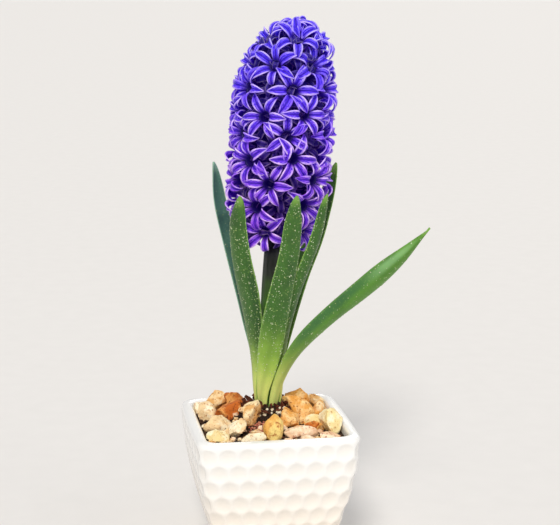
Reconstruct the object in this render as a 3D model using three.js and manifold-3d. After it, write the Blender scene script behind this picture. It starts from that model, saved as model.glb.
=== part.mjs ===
// A forced hyacinth in flower: its bulb is planted in a small square ceramic pot,
// the soil is dressed with chipped stones, six strap leaves stand round one thick
// stalk, and the stalk carries a dense head of star-shaped florets.
// Millimetres, +Z up. The origin is the middle of the pot's flat underside, and the
// pot's sides lie along X and Y with the plainest side facing -Y.
import * as THREE from "three";
import { mergeVertices } from "three/addons/utils/BufferGeometryUtils.js";
import Module from "manifold-3d";

const wasm = await Module();
wasm.setup();

// Driving dimensions
const CLEARANCE = 0.35; // air between pieces that touch
const POT_HEIGHT = 78;
const RIM_HALF = 45; // half the width over the rim
const FOOT_HALF = 27; // half the width over the underside
const TAPER_POWER = 1.9; // above 1, the sides are steepest under the rim
const WALL = 6;
const FLOOR = 6;
const CORNER_SHARE = 0.17; // corner radius as a share of the half width
const SIDE_BOW = 1; // how far each side bulges at its middle
const DIMPLES_AROUND = 32;
const DIMPLE_ROWS = 7;
const DIMPLE_PITCH = 9.4; // from row to row
const TOP_ROW = 70; // height of the middle of the uppermost row
const DIMPLE_DEPTH = 1.3;
const SOIL_LEVEL = 73.5; // soil height along the walls
const MOUND = 15; // how far the soil is heaped up round the neck
const MOUND_SPREAD = 17; // distance over which the heap falls away
const NECK = new THREE.Vector2(0.5, 3); // where the plant stands in the pot
const BULB_FOOT = 22; // height of the basal plate, buried in the soil
const BULB_TOP = 77; // the flat crown that the leaves and the stalk stand on
const COLLAR_TOP = 84; // top of the papery collar round the leaf bases
const COLLAR_RADIUS = 8.9;
const COLLAR_WALL = 0.8;
const STALK_RADIUS = 4.7;
const BEND_HEIGHT = 154; // where the stalk starts to lean
const BEND_LENGTH = 20;
const LEAN = 0.0685; // sideways run per millimetre of height above the bend
const NOD = 0.024; // forward run per millimetre of height
const TIP_HEIGHT = 284; // where the top of the flower head starts to tip over further
const TIP_LEAN = 0.33; // its extra sideways run per millimetre
const LEAF_RING = 6.4; // radius on which the leaf bases stand round the stalk
const LEAF_BASE_WIDTH = 5.4;
const LEAF_THICKNESS = 2.2; // along the midrib, at the base
const LEAF_THINNING = 0.62; // share of that thickness left at the tip
const LEAF_EDGE = 0.7;
const LEAF_CUP = 84; // degrees that the blade curls through, from edge to edge
const HEAD_FOOT = 176.5; // where the flowering part of the stalk starts
const CORE_TOP = 292; // where the stalk ends inside the head
const JOINT_GAP = 0.4; // air between the stalk and what is below and above it

// Small helpers

// Draws numbers from 0 to 1, the same ones on every run.
function seededDraw(seed) {
  let state = seed;
  return () => {
    state = (state * 16807) % 2147483647;
    return state / 2147483647;
  };
}

const degrees = (angle) => (angle * Math.PI) / 180;
const mix = THREE.MathUtils.lerp;

// A horizontal direction: 0 is the front, -Y, and positive angles turn towards +X.
function towards(angle) {
  const a = degrees(angle);
  return new THREE.Vector3(Math.sin(a), -Math.cos(a), 0);
}

// The line that the stalk and the flower head follow: upright at first, then bending
// over to lean towards +X, with a little more at the very top.
function stalkLine(z) {
  const past = z - BEND_HEIGHT;
  const leaning = (past + Math.hypot(past, BEND_LENGTH)) / 2;
  const x = NECK.x + LEAN * leaning + TIP_LEAN * Math.max(0, z - TIP_HEIGHT);
  return new THREE.Vector3(x, NECK.y - NOD * (z - SOIL_LEVEL), z);
}

// Closed surface through a row of loops, each turning anticlockwise as seen from the
// last one. A loop of one point closes the surface to a tip.
function loft(loops, lowFirst = () => true) {
  const points = loops.flat();
  const starts = [];
  loops.reduce((sum, loop) => (starts.push(sum), sum + loop.length), 0);
  const faces = [];
  for (let k = 0; k + 1 < loops.length; k++) {
    const size = Math.max(loops[k].length, loops[k + 1].length);
    for (let i = 0; i < size; i++) {
      const next = (i + 1) % size;
      const [a, b] = [starts[k] + i, starts[k] + next];
      const [c, d] = [starts[k + 1] + next, starts[k + 1] + i];
      if (loops[k].length === 1) faces.push([starts[k], c, d]);
      else if (loops[k + 1].length === 1) faces.push([a, b, starts[k + 1]]);
      else if (lowFirst(i, k)) faces.push([a, b, c], [a, c, d]);
      else faces.push([a, b, d], [b, c, d]);
    }
  }
  const last = loops.length - 1;
  for (let i = 1; i + 1 < loops[0].length; i++) {
    faces.push([starts[0], starts[0] + i + 1, starts[0] + i]);
  }
  for (let i = 1; i + 1 < loops[last].length; i++) {
    faces.push([starts[last], starts[last] + i, starts[last] + i + 1]);
  }
  return geometryOf(points, faces);
}

function geometryOf(points, faces) {
  const geometry = new THREE.BufferGeometry().setFromPoints(points);
  geometry.setIndex(faces.flat());
  return geometry;
}

// The bare shape, with the points that share a place made one.
function welded(geometry) {
  const bare = geometry.clone();
  bare.deleteAttribute("normal");
  bare.deleteAttribute("uv");
  return mergeVertices(bare, 1e-3);
}

function solidOf(geometry) {
  const merged = welded(geometry);
  return new wasm.Manifold(
    new wasm.Mesh({
      numProp: 3,
      vertProperties: merged.attributes.position.array,
      triVerts: new Uint32Array(merged.index.array),
    }),
  );
}

function geometryFrom(solid) {
  const mesh = solid.getMesh();
  const geometry = new THREE.BufferGeometry();
  geometry.setAttribute("position", new THREE.BufferAttribute(mesh.vertProperties, 3));
  geometry.setIndex(new THREE.BufferAttribute(mesh.triVerts, 1));
  return geometry;
}

// The largest body of a solid: this fills sealed hollows and drops loose scraps.
function mainBody(solid) {
  return solid.decompose().reduce((a, b) => (b.volume() > a.volume() ? b : a));
}

// A square loop with round corners and slightly bulging sides, its points spaced
// evenly along its length and numbered alike at every height.
function squareLoop(half, z, count) {
  const radius = half * CORNER_SHARE;
  const straight = half - radius;
  const arc = (radius * Math.PI) / 2;
  const side = 2 * straight + arc;
  const bow = (SIDE_BOW * half) / RIM_HALF;
  const loop = [];
  for (let i = 0; i < count; i++) {
    const at = (i / count) * 4;
    const quarter = Math.floor(at);
    const along = (at - quarter) * side;
    let x = half;
    let y = along - straight;
    if (along > 2 * straight) {
      const turn = (along - 2 * straight) / radius;
      x = straight + radius * Math.cos(turn);
      y = straight + radius * Math.sin(turn);
    }
    const bulge = bow * Math.max(0, 1 - (y / half) ** 2) * (x / half);
    const angle = (quarter * Math.PI) / 2;
    const out = x + bulge;
    loop.push(
      new THREE.Vector3(
        out * Math.cos(angle) - y * Math.sin(angle),
        out * Math.sin(angle) + y * Math.cos(angle),
        z,
      ),
    );
  }
  return loop;
}

// Half the pot's outer width at a height: nearly upright under the rim, then tapering.
function potHalf(z) {
  return RIM_HALF - (RIM_HALF - FOOT_HALF) * ((POT_HEIGHT - z) / POT_HEIGHT) ** TAPER_POWER;
}

// Soil height: level along the walls and heaped up round the neck.
function soilHeight(x, y) {
  const away = Math.hypot(x - NECK.x, y - NECK.y) / MOUND_SPREAD;
  return SOIL_LEVEL + MOUND * Math.exp(-away * away);
}

// The rolled rim and the inside of the pot, as half widths and heights, outside first.
const RIM_AND_INSIDE = [
  [potHalf(73), 73],
  [RIM_HALF, 74.5],
  [RIM_HALF, 76.2],
  [RIM_HALF - 1.6, POT_HEIGHT],
  [RIM_HALF - WALL + 1.4, POT_HEIGHT],
  [RIM_HALF - WALL, POT_HEIGHT - 1.6],
  [potHalf(40) - WALL, 40],
  [potHalf(FLOOR) - WALL, FLOOR],
];
const FOOT_ROUNDING = 0.8;

// Pot: a tapered square shell whose walls carry staggered rows of pressed dimples.
function makePot() {
  const columns = 2 * DIMPLES_AROUND;
  const loops = [squareLoop(FOOT_HALF - FOOT_ROUNDING, 0, columns)];
  loops.push(squareLoop(potHalf(FOOT_ROUNDING), FOOT_ROUNDING, columns));
  for (let row = DIMPLE_ROWS - 1; row >= 0; row--) {
    const z = TOP_ROW - row * DIMPLE_PITCH;
    const loop = squareLoop(potHalf(z), z, columns);
    loop.forEach((point, i) => {
      if ((i + row) % 2) return;
      const inward = new THREE.Vector3(point.x, point.y, 0).normalize();
      point.addScaledVector(inward, -DIMPLE_DEPTH);
    });
    loops.push(loop);
  }
  for (const [half, z] of RIM_AND_INSIDE) loops.push(squareLoop(half, z, columns));
  // The ridges between dimples run from raised point to raised point.
  const rises = (i, k) => k < 2 || k > DIMPLE_ROWS || (i + k + DIMPLE_ROWS) % 2 === 0;
  return loft(loops, rises);
}

// Bulb: a round onion-like body, basal plate down, with a short papery collar that
// holds the leaf bases and the stalk. Radius and height of its skin above the plate:
const BULB_SKIN = [
  [22, 34],
  [24.5, 45],
  [22, 56],
  [15.5, 66],
  [11, 74],
  [COLLAR_RADIUS, COLLAR_TOP],
];
const BASAL_PLATE = { radius: 7, flare: 15, rise: 3 };
const ABOVE_SOIL = 92; // where the bulb's hole in the soil is sure to be open

// grow is 0 for the bulb, and the clearance for the plain hole that it stands in.
function bulbProfile(grow) {
  const profile = [
    [0, BULB_FOOT - grow],
    [BASAL_PLATE.radius, BULB_FOOT - grow],
    [BASAL_PLATE.flare + grow, BULB_FOOT + BASAL_PLATE.rise - grow],
  ];
  for (const [r, z] of BULB_SKIN) profile.push([r + grow, z]);
  const inner = COLLAR_RADIUS - COLLAR_WALL;
  if (grow) profile.push([COLLAR_RADIUS + grow, ABOVE_SOIL], [0, ABOVE_SOIL]);
  else profile.push([inner, COLLAR_TOP], [inner, BULB_TOP], [0, BULB_TOP]);
  return profile.map(([r, z]) => new THREE.Vector2(r, z));
}

function makeBulb(grow = 0) {
  const geometry = new THREE.LatheGeometry(bulbProfile(grow), 20);
  geometry.rotateX(Math.PI / 2);
  geometry.translate(NECK.x, NECK.y, 0);
  return geometry;
}

// Stalk: a round stem from the bulb's top to the foot of the flower head.
function stalkLoop(z, radius, sides) {
  const centre = stalkLine(z);
  const loop = [];
  for (let i = 0; i < sides; i++) {
    const angle = (i / sides) * 2 * Math.PI;
    const offset = new THREE.Vector3(Math.cos(angle), Math.sin(angle), 0);
    loop.push(centre.clone().addScaledVector(offset, radius));
  }
  return loop;
}

// Height, and width as a share of the stalk's radius.
const STALK_PROFILE = [
  [BULB_TOP + JOINT_GAP, 1],
  [95, 1.02],
  [115, 1.08],
  [135, 1.08],
  [155, 1.04],
  [HEAD_FOOT - JOINT_GAP, 1],
];

function makeStalk() {
  return loft(STALK_PROFILE.map(([z, share]) => stalkLoop(z, STALK_RADIUS * share, 12)));
}

// Leaves: thick channelled straps. base is where on the ring the leaf starts, line
// is what its midrib passes through, and turn rolls the blade about its own length.
const LEAVES = [
  {
    name: "leaf_front",
    base: -40,
    line: [
      [-4.1, -4.3, 95],
      [-2.5, -9.8, 110],
      [0.8, -15.6, 134],
      [3.8, -22, 155],
      [6.9, -28, 176],
      [8, -33.5, 196],
      [8.9, -36.5, 211],
    ],
    width: 15.6,
    turn: 0,
    tint: 0x5c9a36,
  },
  {
    name: "leaf_front_left",
    base: -100,
    line: [
      [-7.2, 3.4, 97],
      [-8.4, 0.6, 112],
      [-11, -4.6, 133],
      [-14.6, -10.6, 154],
      [-18.8, -15, 174],
      [-21, -18.5, 194],
      [-19.4, -22, 209],
    ],
    width: 16.4,
    turn: 14,
    tint: 0x559233,
  },
  {
    name: "leaf_back_left",
    base: -160,
    line: [
      [-3.1, 10.5, 100],
      [-6, 12.2, 118],
      [-10.4, 12.8, 135],
      [-14, 14.8, 152],
      [-19.6, 18, 176],
      [-24.8, 20.4, 198],
      [-28, 20.8, 222],
    ],
    width: 11.6,
    turn: -34,
    tint: 0x3f7350,
  },
  {
    name: "leaf_back_right",
    base: 140,
    line: [
      [6.2, 9.2, 100],
      [9.6, 10.2, 118],
      [15, 10.6, 141],
      [20.4, 10.4, 160],
      [28.2, 10, 180],
      [34.2, 9.4, 202],
      [39.5, 8.6, 222],
    ],
    width: 12.8,
    turn: 58,
    tint: 0x4c8542,
  },
  {
    name: "leaf_right",
    base: 80,
    line: [
      [7.9, 2, 96],
      [8.6, -0.3, 111],
      [9.4, -5, 127],
      [12.4, -12.4, 148],
      [17.4, -20.4, 168],
      [23, -27, 189],
      [26.4, -30.4, 210.5],
    ],
    width: 12.6,
    turn: 0,
    tint: 0x528c3a,
  },
  {
    name: "leaf_outer_right",
    base: 20,
    line: [
      [4.1, -4.5, 95],
      [7.7, -7.4, 106],
      [15.5, -12, 120.4],
      [32, -16.7, 138.2],
      [53.4, -21.6, 157.3],
      [71.8, -24.9, 173],
      [85, -27.3, 187.8],
    ],
    width: 16,
    turn: -44,
    tint: 0x67a83a,
  },
];
const LEAF_STATIONS = 13;
const LEAF_NARROWING = 0.27; // share of its width that a leaf loses in its upper half

// A blade's width at a place from 0 at the base to 1 at the tip: it widens out of the
// bulb, narrows slowly in its upper half, and ends in a blunt round tip.
function leafSpan(at, width) {
  const { smoothstep } = THREE.MathUtils;
  const widening = mix(LEAF_BASE_WIDTH, width, smoothstep(at, 0, 0.4));
  const narrowing = 1 - LEAF_NARROWING * smoothstep(at, 0.45, 0.92);
  const tip = Math.max(0, (at - 0.88) / 0.12);
  return widening * narrowing * Math.sqrt(Math.max(0.01, 1 - tip ** 2.4));
}

function makeLeaf({ base, line, width, turn }) {
  const foot = towards(base).multiplyScalar(LEAF_RING);
  foot.add(new THREE.Vector3(NECK.x, NECK.y, BULB_TOP + CLEARANCE));
  const neckTop = foot.clone().setZ(COLLAR_TOP + 1);
  const through = line.map((p) => new THREE.Vector3(...p));
  const midrib = new THREE.CatmullRomCurve3([foot, neckTop, ...through], false, "centripetal");
  const loops = [];
  for (let k = 0; k < LEAF_STATIONS; k++) {
    // The stations crowd towards both ends, where the blade changes most.
    const at = (1 - Math.cos((Math.PI * k) / (LEAF_STATIONS - 1))) / 2;
    const middle = midrib.getPointAt(at);
    const along = midrib.getTangentAt(at);
    if (k === 0) along.set(0, 0, 1);
    const inward = stalkLine(middle.z).sub(middle);
    inward.addScaledVector(along, -inward.dot(along)).normalize();
    inward.applyAxisAngle(along, degrees(turn) * THREE.MathUtils.smoothstep(at, 0.15, 0.8));
    const across = new THREE.Vector3().crossVectors(along, inward);
    const span = leafSpan(at, width);
    const curling = THREE.MathUtils.smoothstep(at, 0, 0.5);
    const cup = mix(LEAF_BASE_WIDTH / LEAF_RING, degrees(LEAF_CUP), curling);
    const bend = span / cup;
    const thick = LEAF_THICKNESS * mix(1, LEAF_THINNING, at);
    // u runs from edge to edge, and face is 1 on the hollow side and -1 on the back.
    const point = (u, face) => {
      const angle = (u * cup) / 2;
      const half = (mix(thick, LEAF_EDGE, u * u) / 2) * face;
      return middle
        .clone()
        .addScaledVector(across, (bend - half) * Math.sin(angle))
        .addScaledVector(inward, bend - (bend - half) * Math.cos(angle));
    };
    const inside = [-1, -0.5, 0, 0.5, 1].map((u) => point(u, 1));
    const outside = [1, 0.5, 0, -0.5, -1].map((u) => point(u, -1));
    loops.push([...inside, ...outside]);
  }
  return loft(loops);
}

// Flower head: whorls of florets on the upper stalk, lowest first. up is the height
// of the floret mouths, reach how far they stand out from the stalk's line, first
// the direction of one of them, and lift how steeply they point upwards.
const WHORLS = [
  { up: 188, reach: 19, count: 5, first: -24, lift: -6 },
  { up: 202, reach: 23, count: 5, first: 32, lift: -2 },
  { up: 215.5, reach: 25, count: 6, first: -23, lift: 2 },
  { up: 228, reach: 24.8, count: 6, first: 8, lift: 4 },
  { up: 240, reach: 24.6, count: 6, first: -6, lift: 6 },
  { up: 251.5, reach: 24.4, count: 7, first: 16, lift: 8 },
  { up: 265.5, reach: 23.5, count: 6, first: -2, lift: 14 },
  { up: 278, reach: 20.5, count: 6, first: -27, lift: 22 },
  { up: 290.5, reach: 14.5, count: 5, first: -2, lift: 38 },
  { up: 297.6, reach: 4.5, count: 3, first: 62, lift: 66 },
];
const TEPALS = 6;
// How far the florets on the best side are turned about their axes, in degrees, by
// whorl. Each is the first of its whorl, but for the sixth whorl, where it is the last.
const FACING_ROLLS = [-10, null, 35, 30, 0, 30, 30, 0, 0, null];
const MOUTH_RADIUS = 3.3;
const THROAT_DEPTH = 4;
const NECK_RADIUS = 2.6;
const NECK_LENGTH = 2; // how far the tube's neck is behind its mouth
const ROOT_RADIUS = 2;
// A tepal arches from the mouth over its widest place to a tip that curls back.
// ahead is along the floret's axis from the mouth, and out is away from that axis.
const TEPAL_WIDEST = { ahead: 2.3, out: 8.4, half: 2.15, thick: 1.1 };
const TEPAL_TIP = { ahead: -0.9, out: 14 };

function makeFloret(mouth, forward, roll, size, length) {
  const steep = Math.abs(forward.z) > 0.9;
  const helper = steep ? new THREE.Vector3(0, 1, 0) : new THREE.Vector3(0, 0, 1);
  const right = new THREE.Vector3().crossVectors(forward, helper).normalize();
  const up = new THREE.Vector3().crossVectors(right, forward);
  const place = (ahead, out, angle, sideways = 0) => {
    const [c, s] = [Math.cos(angle), Math.sin(angle)];
    const radial = right.clone().multiplyScalar(c).addScaledVector(up, s);
    const round = right.clone().multiplyScalar(-s).addScaledVector(up, c);
    return mouth
      .clone()
      .addScaledVector(forward, ahead * size)
      .addScaledVector(radial, out * size)
      .addScaledVector(round, sideways * size);
  };
  const corner = (k) => roll + (k * 2 * Math.PI) / TEPALS;
  const points = [];
  const faces = [];
  const ring = (ahead, out) => {
    const start = points.length;
    for (let k = 0; k < TEPALS; k++) points.push(place(ahead, out, corner(k)));
    return start;
  };
  const root = ring(-length / size, ROOT_RADIUS);
  const neck = ring(-NECK_LENGTH, NECK_RADIUS);
  const lip = ring(0, MOUTH_RADIUS);
  const throat = points.push(place(-THROAT_DEPTH, 0, 0)) - 1;
  const run = new THREE.Vector2(
    TEPAL_TIP.out - MOUTH_RADIUS,
    TEPAL_TIP.ahead + NECK_LENGTH / 2,
  ).normalize();
  const { ahead, out, half, thick } = TEPAL_WIDEST;
  for (let k = 1; k + 1 < TEPALS; k++) faces.push([root, root + k, root + k + 1]);
  for (let k = 0; k < TEPALS; k++) {
    const next = (k + 1) % TEPALS;
    faces.push([root + k, neck + next, root + next], [root + k, neck + k, neck + next]);
    faces.push([lip + k, throat, lip + next]);
    // The tepal grows out of the side face between neck and lip.
    const middle = corner(k + 0.5);
    const edge = (side, face) => {
      const lift = (thick * face) / 2;
      return place(ahead + run.x * lift, out - run.y * lift, middle, half * side);
    };
    const widest = points.length;
    points.push(edge(-1, -1), edge(-1, 1), edge(1, 1), edge(1, -1));
    const tip = points.push(place(TEPAL_TIP.ahead, TEPAL_TIP.out, middle)) - 1;
    const inner = [neck + k, lip + k, lip + next, neck + next];
    for (let i = 0; i < 4; i++) {
      const j = (i + 1) % 4;
      faces.push([inner[i], inner[j], widest + j], [inner[i], widest + j, widest + i]);
      faces.push([widest + i, widest + j, tip]);
    }
  }
  return geometryOf(points, faces);
}

// The stalk inside the head, as heights and radii.
const CORE_PROFILE = [
  [HEAD_FOOT, 4.6],
  [190, 5],
  [206, 6.6],
  [272, 6.4],
  [CORE_TOP, 2.4],
];

function makeHead() {
  const draw = seededDraw(4177);
  const wobble = (most) => (2 * draw() - 1) * most;
  const solids = [solidOf(loft(CORE_PROFILE.map(([z, radius]) => stalkLoop(z, radius, 8))))];
  WHORLS.forEach(({ up, reach, count, first, lift }, whorl) => {
    const facing = whorl === 5 ? count - 1 : 0;
    for (let i = 0; i < count; i++) {
      const outward = towards(first + (i * 360) / count + wobble(3));
      const mouth = stalkLine(up + wobble(1.2)).addScaledVector(outward, reach + wobble(0.8));
      const steep = degrees(lift + wobble(6));
      const forward = outward.multiplyScalar(Math.cos(steep)).setZ(Math.sin(steep));
      const size = 1 + wobble(0.05);
      const length = reach / Math.cos(steep); // so the tube's root is inside the core
      const drawn = draw() * Math.PI;
      const known = FACING_ROLLS[whorl] !== null && i === facing;
      const roll = known ? degrees(FACING_ROLLS[whorl]) : drawn;
      solids.push(solidOf(makeFloret(mouth, forward, roll, size, length)));
    }
  });
  return geometryFrom(mainBody(wasm.Manifold.union(solids)));
}

// Stones: chipped pebbles laid over the soil, each sunk a little into it. at is the
// middle, size is length, width and height, and turn is about the vertical.
const STONES = [
  { at: [-15.5, 22], size: [12.5, 12, 14], turn: 20, tint: 0xc4712c },
  { at: [-25.5, 29.5], size: [11.5, 9, 14], turn: -10, tint: 0xe0b98a },
  { at: [-33.3, 14.5], size: [10, 12, 12], turn: 12, tint: 0xead29a },
  { at: [-21.5, 7], size: [15, 9.5, 12], turn: -12, tint: 0xd08a48 },
  { at: [-29.8, -5.5], size: [15.5, 11, 10], turn: 18, tint: 0xe6c9a0 },
  { at: [-32, -24], size: [12, 12, 8], turn: -8, tint: 0xf0dcb0 },
  { at: [-21, -19], size: [9.5, 11, 11], turn: 35, tint: 0xecd2b4 },
  { at: [-11.6, -10.5], size: [9, 13, 14], turn: -24, tint: 0xd9a066 },
  { at: [-13.5, -30], size: [12.5, 10, 8], turn: 5, tint: 0xf2d9c0 },
  { at: [-1.5, -27], size: [10, 13, 15], turn: 4, tint: 0xd9a246 },
  { at: [17.2, -1.5], size: [17, 11, 13], turn: -10, tint: 0xd8933e },
  { at: [9.8, -14.5], size: [12, 10, 11.5], turn: 14, tint: 0xdb9c4a },
  { at: [20, 16.5], size: [14, 12, 15], turn: -12, tint: 0xc68a44 },
  { at: [32.7, 13.5], size: [9, 11, 11], turn: 25, tint: 0xdfae86 },
  { at: [24.3, -10.5], size: [10.5, 7, 8.5], turn: -10, tint: 0xf0ddb0 },
  { at: [13.5, -26], size: [18.5, 8, 8.5], turn: -7, tint: 0xe2b49c },
  { at: [32.6, -18], size: [12, 17, 16], turn: -8, tint: 0xeed89e },
  { at: [21.5, -18], size: [9, 6, 7.5], turn: 10, tint: 0xc98f6a },
  { at: [29.5, -32.5], size: [11, 7, 6.5], turn: 14, tint: 0xc98f70 },
  { at: [34, 31], size: [8.5, 9, 9], turn: -30, tint: 0xd9b07c },
  { at: [3, 30.5], size: [13, 10, 10], turn: 8, tint: 0xd5a468 },
  { at: [-11, 33.5], size: [9, 8, 8], turn: -14, tint: 0xe3c494 },
  { at: [-35, 28.5], size: [6.5, 8.5, 8], turn: 10, tint: 0xe8cfa0 },
  { at: [17.5, -34.5], size: [9, 6, 6], turn: -8, tint: 0xb98a70 },
  { at: [36, 22.5], size: [5.5, 6, 6], turn: 0, tint: 0xd8a58c },
  { at: [9.5, 17.5], size: [5.5, 6, 8], turn: 0, tint: 0x8f5a34 },
];
const STONE_SUNK = 1.8;

// grow makes the socket in the soil that the stone's underside lies in.
function makeStone({ at: [x, y], size, turn }, index, grow = 0) {
  const geometry = welded(new THREE.DodecahedronGeometry(0.5));
  const draw = seededDraw(900 + index);
  const spots = geometry.attributes.position;
  const point = new THREE.Vector3();
  for (let i = 0; i < spots.count; i++) {
    point.fromBufferAttribute(spots, i).multiplyScalar(0.9 + 0.22 * draw());
    point.multiply(new THREE.Vector3(...size).addScalar(2 * grow));
    spots.setXYZ(i, point.x, point.y, point.z);
  }
  geometry.rotateZ(degrees(turn));
  geometry.translate(x, y, soilHeight(x, y) + size[2] / 2 - STONE_SUNK);
  return geometry;
}

// Soil: fills the pot, with plain hollows for the bulb and the undersides of the stones.
function makeSoil() {
  const sides = 32;
  const wallGap = WALL + CLEARANCE + 0.25; // the coarser loops bulge a little less evenly
  const loops = [FLOOR + CLEARANCE, 40, SOIL_LEVEL].map((z) =>
    squareLoop(potHalf(z) - wallGap, z, sides),
  );
  const edge = loops.at(-1);
  for (const share of [0.72, 0.5, 0.34, 0.2]) {
    loops.push(
      edge.map((p) => {
        const x = mix(NECK.x, p.x, share);
        const y = mix(NECK.y, p.y, share);
        return new THREE.Vector3(x, y, soilHeight(x, y));
      }),
    );
  }
  let soil = solidOf(loft(loops)).subtract(solidOf(makeBulb(CLEARANCE)));
  STONES.forEach((stone, i) => {
    soil = soil.subtract(solidOf(makeStone(stone, i, CLEARANCE)));
  });
  return geometryFrom(mainBody(soil));
}

// Assembly
const hyacinth = new THREE.Group();

function add(name, geometry, color, roughness) {
  const material = new THREE.MeshStandardMaterial({ color, roughness, metalness: 0 });
  const mesh = new THREE.Mesh(geometry, material);
  mesh.name = name;
  hyacinth.add(mesh);
}

add("pot", makePot(), 0xf3f1ea, 0.3);
add("soil", makeSoil(), 0x2e211b, 0.95);
add("bulb", makeBulb(), 0x8a5a6e, 0.6);
add("stalk", makeStalk(), 0x3d3a2c, 0.5);
for (const leaf of LEAVES) add(leaf.name, makeLeaf(leaf), leaf.tint, 0.45);
add("flower_head", makeHead(), 0x4a2cc8, 0.55);
STONES.forEach((stone, i) => {
  const name = "stone_" + String(i + 1).padStart(2, "0");
  add(name, makeStone(stone, i), stone.tint, 0.85);
});

export default hyacinth;
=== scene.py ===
# %% [markdown]
# # A forced hyacinth in its square pot
#
# This lesson dresses a hyacinth that is already built as plain solids. The solids fix where
# everything is. Each step below takes one real piece or finish, says what it is, how it could be
# made in Blender, and why one way was chosen. Lengths are metres, written as millimetres times MM,
# because that is how one would measure a plant. +Z is up and the best side of the pot faces -Y.

# %% Load the fixed frame
import math
import random

import bpy
from mathutils import Matrix, Vector


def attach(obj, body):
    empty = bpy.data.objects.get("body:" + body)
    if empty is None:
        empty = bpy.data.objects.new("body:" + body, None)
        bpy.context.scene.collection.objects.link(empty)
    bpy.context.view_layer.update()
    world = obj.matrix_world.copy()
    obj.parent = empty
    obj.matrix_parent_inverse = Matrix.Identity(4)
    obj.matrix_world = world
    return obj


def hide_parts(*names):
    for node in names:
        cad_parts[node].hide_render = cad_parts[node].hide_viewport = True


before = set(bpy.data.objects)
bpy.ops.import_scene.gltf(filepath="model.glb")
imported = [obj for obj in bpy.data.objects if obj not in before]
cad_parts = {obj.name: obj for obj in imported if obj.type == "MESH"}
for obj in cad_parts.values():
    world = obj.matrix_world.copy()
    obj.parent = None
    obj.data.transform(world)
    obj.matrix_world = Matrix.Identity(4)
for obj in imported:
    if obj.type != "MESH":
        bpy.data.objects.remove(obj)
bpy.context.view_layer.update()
MM = 0.001
print("solids loaded:", len(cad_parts))

# %% [markdown]
# ## Camera
#
# A camera can be placed by eye, by moving it until the picture looks right, or from its own facts:
# where it aims, from which side, how far away and how long its lens is. The facts are used here,
# because each can then be changed on its own. The photographer stood a little to the left of the
# pot's front and looked down on it a little, with a long lens. The plain Standard view keeps the
# blue of the flowers as deep as it is. Blender's own default view would wash it out.

# %% Place the camera
SENSOR_WIDTH = 36
LENS = 96.4
AZIMUTH = math.radians(-10.1)
ELEVATION = math.radians(11.55)
ROLL = math.radians(0.4)
DISTANCE = 836 * MM
AIM = Vector((6.4, 0, 167.6)) * MM
UP = Vector((0, 0, 1))


def place_camera():
    """Aims a long lens at the plant from the photographer's side and height."""
    level = math.cos(ELEVATION)
    back = Vector((math.sin(AZIMUTH) * level, -math.cos(AZIMUTH) * level, math.sin(ELEVATION)))
    right = UP.cross(back).normalized()
    above = back.cross(right)
    turned_right = math.cos(ROLL) * right + math.sin(ROLL) * above
    turned_above = math.cos(ROLL) * above - math.sin(ROLL) * right
    data = bpy.data.cameras.new("camera")
    data.sensor_width = SENSOR_WIDTH
    data.lens = LENS
    camera = bpy.data.objects.new("camera", data)
    bpy.context.scene.collection.objects.link(camera)
    axes = Matrix((turned_right, turned_above, back)).transposed().to_4x4()
    camera.matrix_world = Matrix.Translation(AIM + back * DISTANCE) @ axes
    bpy.context.scene.camera = camera
    return camera


camera = place_camera()
bpy.context.scene.view_settings.view_transform = "Standard"
print("camera at", [round(v, 3) for v in camera.location])

# %% [markdown]
# ## Shader helpers
#
# Every finish in this lesson is a small network of shader nodes. Networks can be wired by hand in
# the shader editor, where each node is dragged and linked. In a script the same wiring is shorter
# to read when one helper adds a node and fills its sockets, and a few more stand for the steps
# that come back in every network: an easing, a noise, a mix of two colours.

# %% Add a node and fill its sockets
def colour(code):
    """A colour as shaders want it, from the usual six-digit form."""
    shares = [int(code[i : i + 2], 16) / 255 for i in (1, 3, 5)]
    linear = [s / 12.92 if s <= 0.04045 else ((s + 0.055) / 1.055) ** 2.4 for s in shares]
    return (*linear, 1)


def add_node(tree, kind, sockets=None, **settings):
    """Adds a node. Its sockets get plain values or colour codes, or other sockets feed them."""
    made = tree.nodes.new(kind)
    for key, value in settings.items():
        setattr(made, key, value)
    for key, value in (sockets or {}).items():
        if isinstance(value, bpy.types.NodeSocket):
            tree.links.new(value, made.inputs[key])
        else:
            made.inputs[key].default_value = colour(value) if isinstance(value, str) else value
    return made


print("middle grey, as shaders want it:", [round(share, 3) for share in colour("#808080")])

# %% Calculate with masks
def maths(tree, operation, first, second=0.0):
    return add_node(tree, "ShaderNodeMath", {0: first, 1: second}, operation=operation).outputs[0]


def times(tree, product, *others):
    """Multiplies two or more values."""
    for other in others:
        product = maths(tree, "MULTIPLY", product, other)
    return product


def plus(tree, first, second):
    return maths(tree, "ADD", first, second)


def rest_of(tree, share):
    """What a share leaves of 1."""
    return maths(tree, "SUBTRACT", 1.0, share)


def ease(tree, value, low, high):
    """0 where value is low, 1 where it is high, and a smooth step between."""
    sockets = {"Value": value, "From Min": low, "From Max": high}
    made = add_node(tree, "ShaderNodeMapRange", sockets, interpolation_type="SMOOTHSTEP")
    return made.outputs[0]


def band(tree, value, start, full, fading, end):
    """1 where value is in a band, with eased edges, and 0 on both sides of it."""
    return times(tree, ease(tree, value, start, full), ease(tree, value, end, fading))


def noise(tree, where, scale, detail=3.0, rough=0.5):
    sockets = {"Vector": where, "Scale": scale, "Detail": detail, "Roughness": rough}
    return add_node(tree, "ShaderNodeTexNoise", sockets).outputs["Fac"]


print("ways to make a mask:", [way.__name__ for way in (ease, band, rest_of, noise)])

# %% Mix tones and read the mesh
def blend(tree, share, first, second):
    """Mixes two colours."""
    sockets = {0: share, 6: first, 7: second}
    return add_node(tree, "ShaderNodeMix", sockets, data_type="RGBA").outputs[2]


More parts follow.
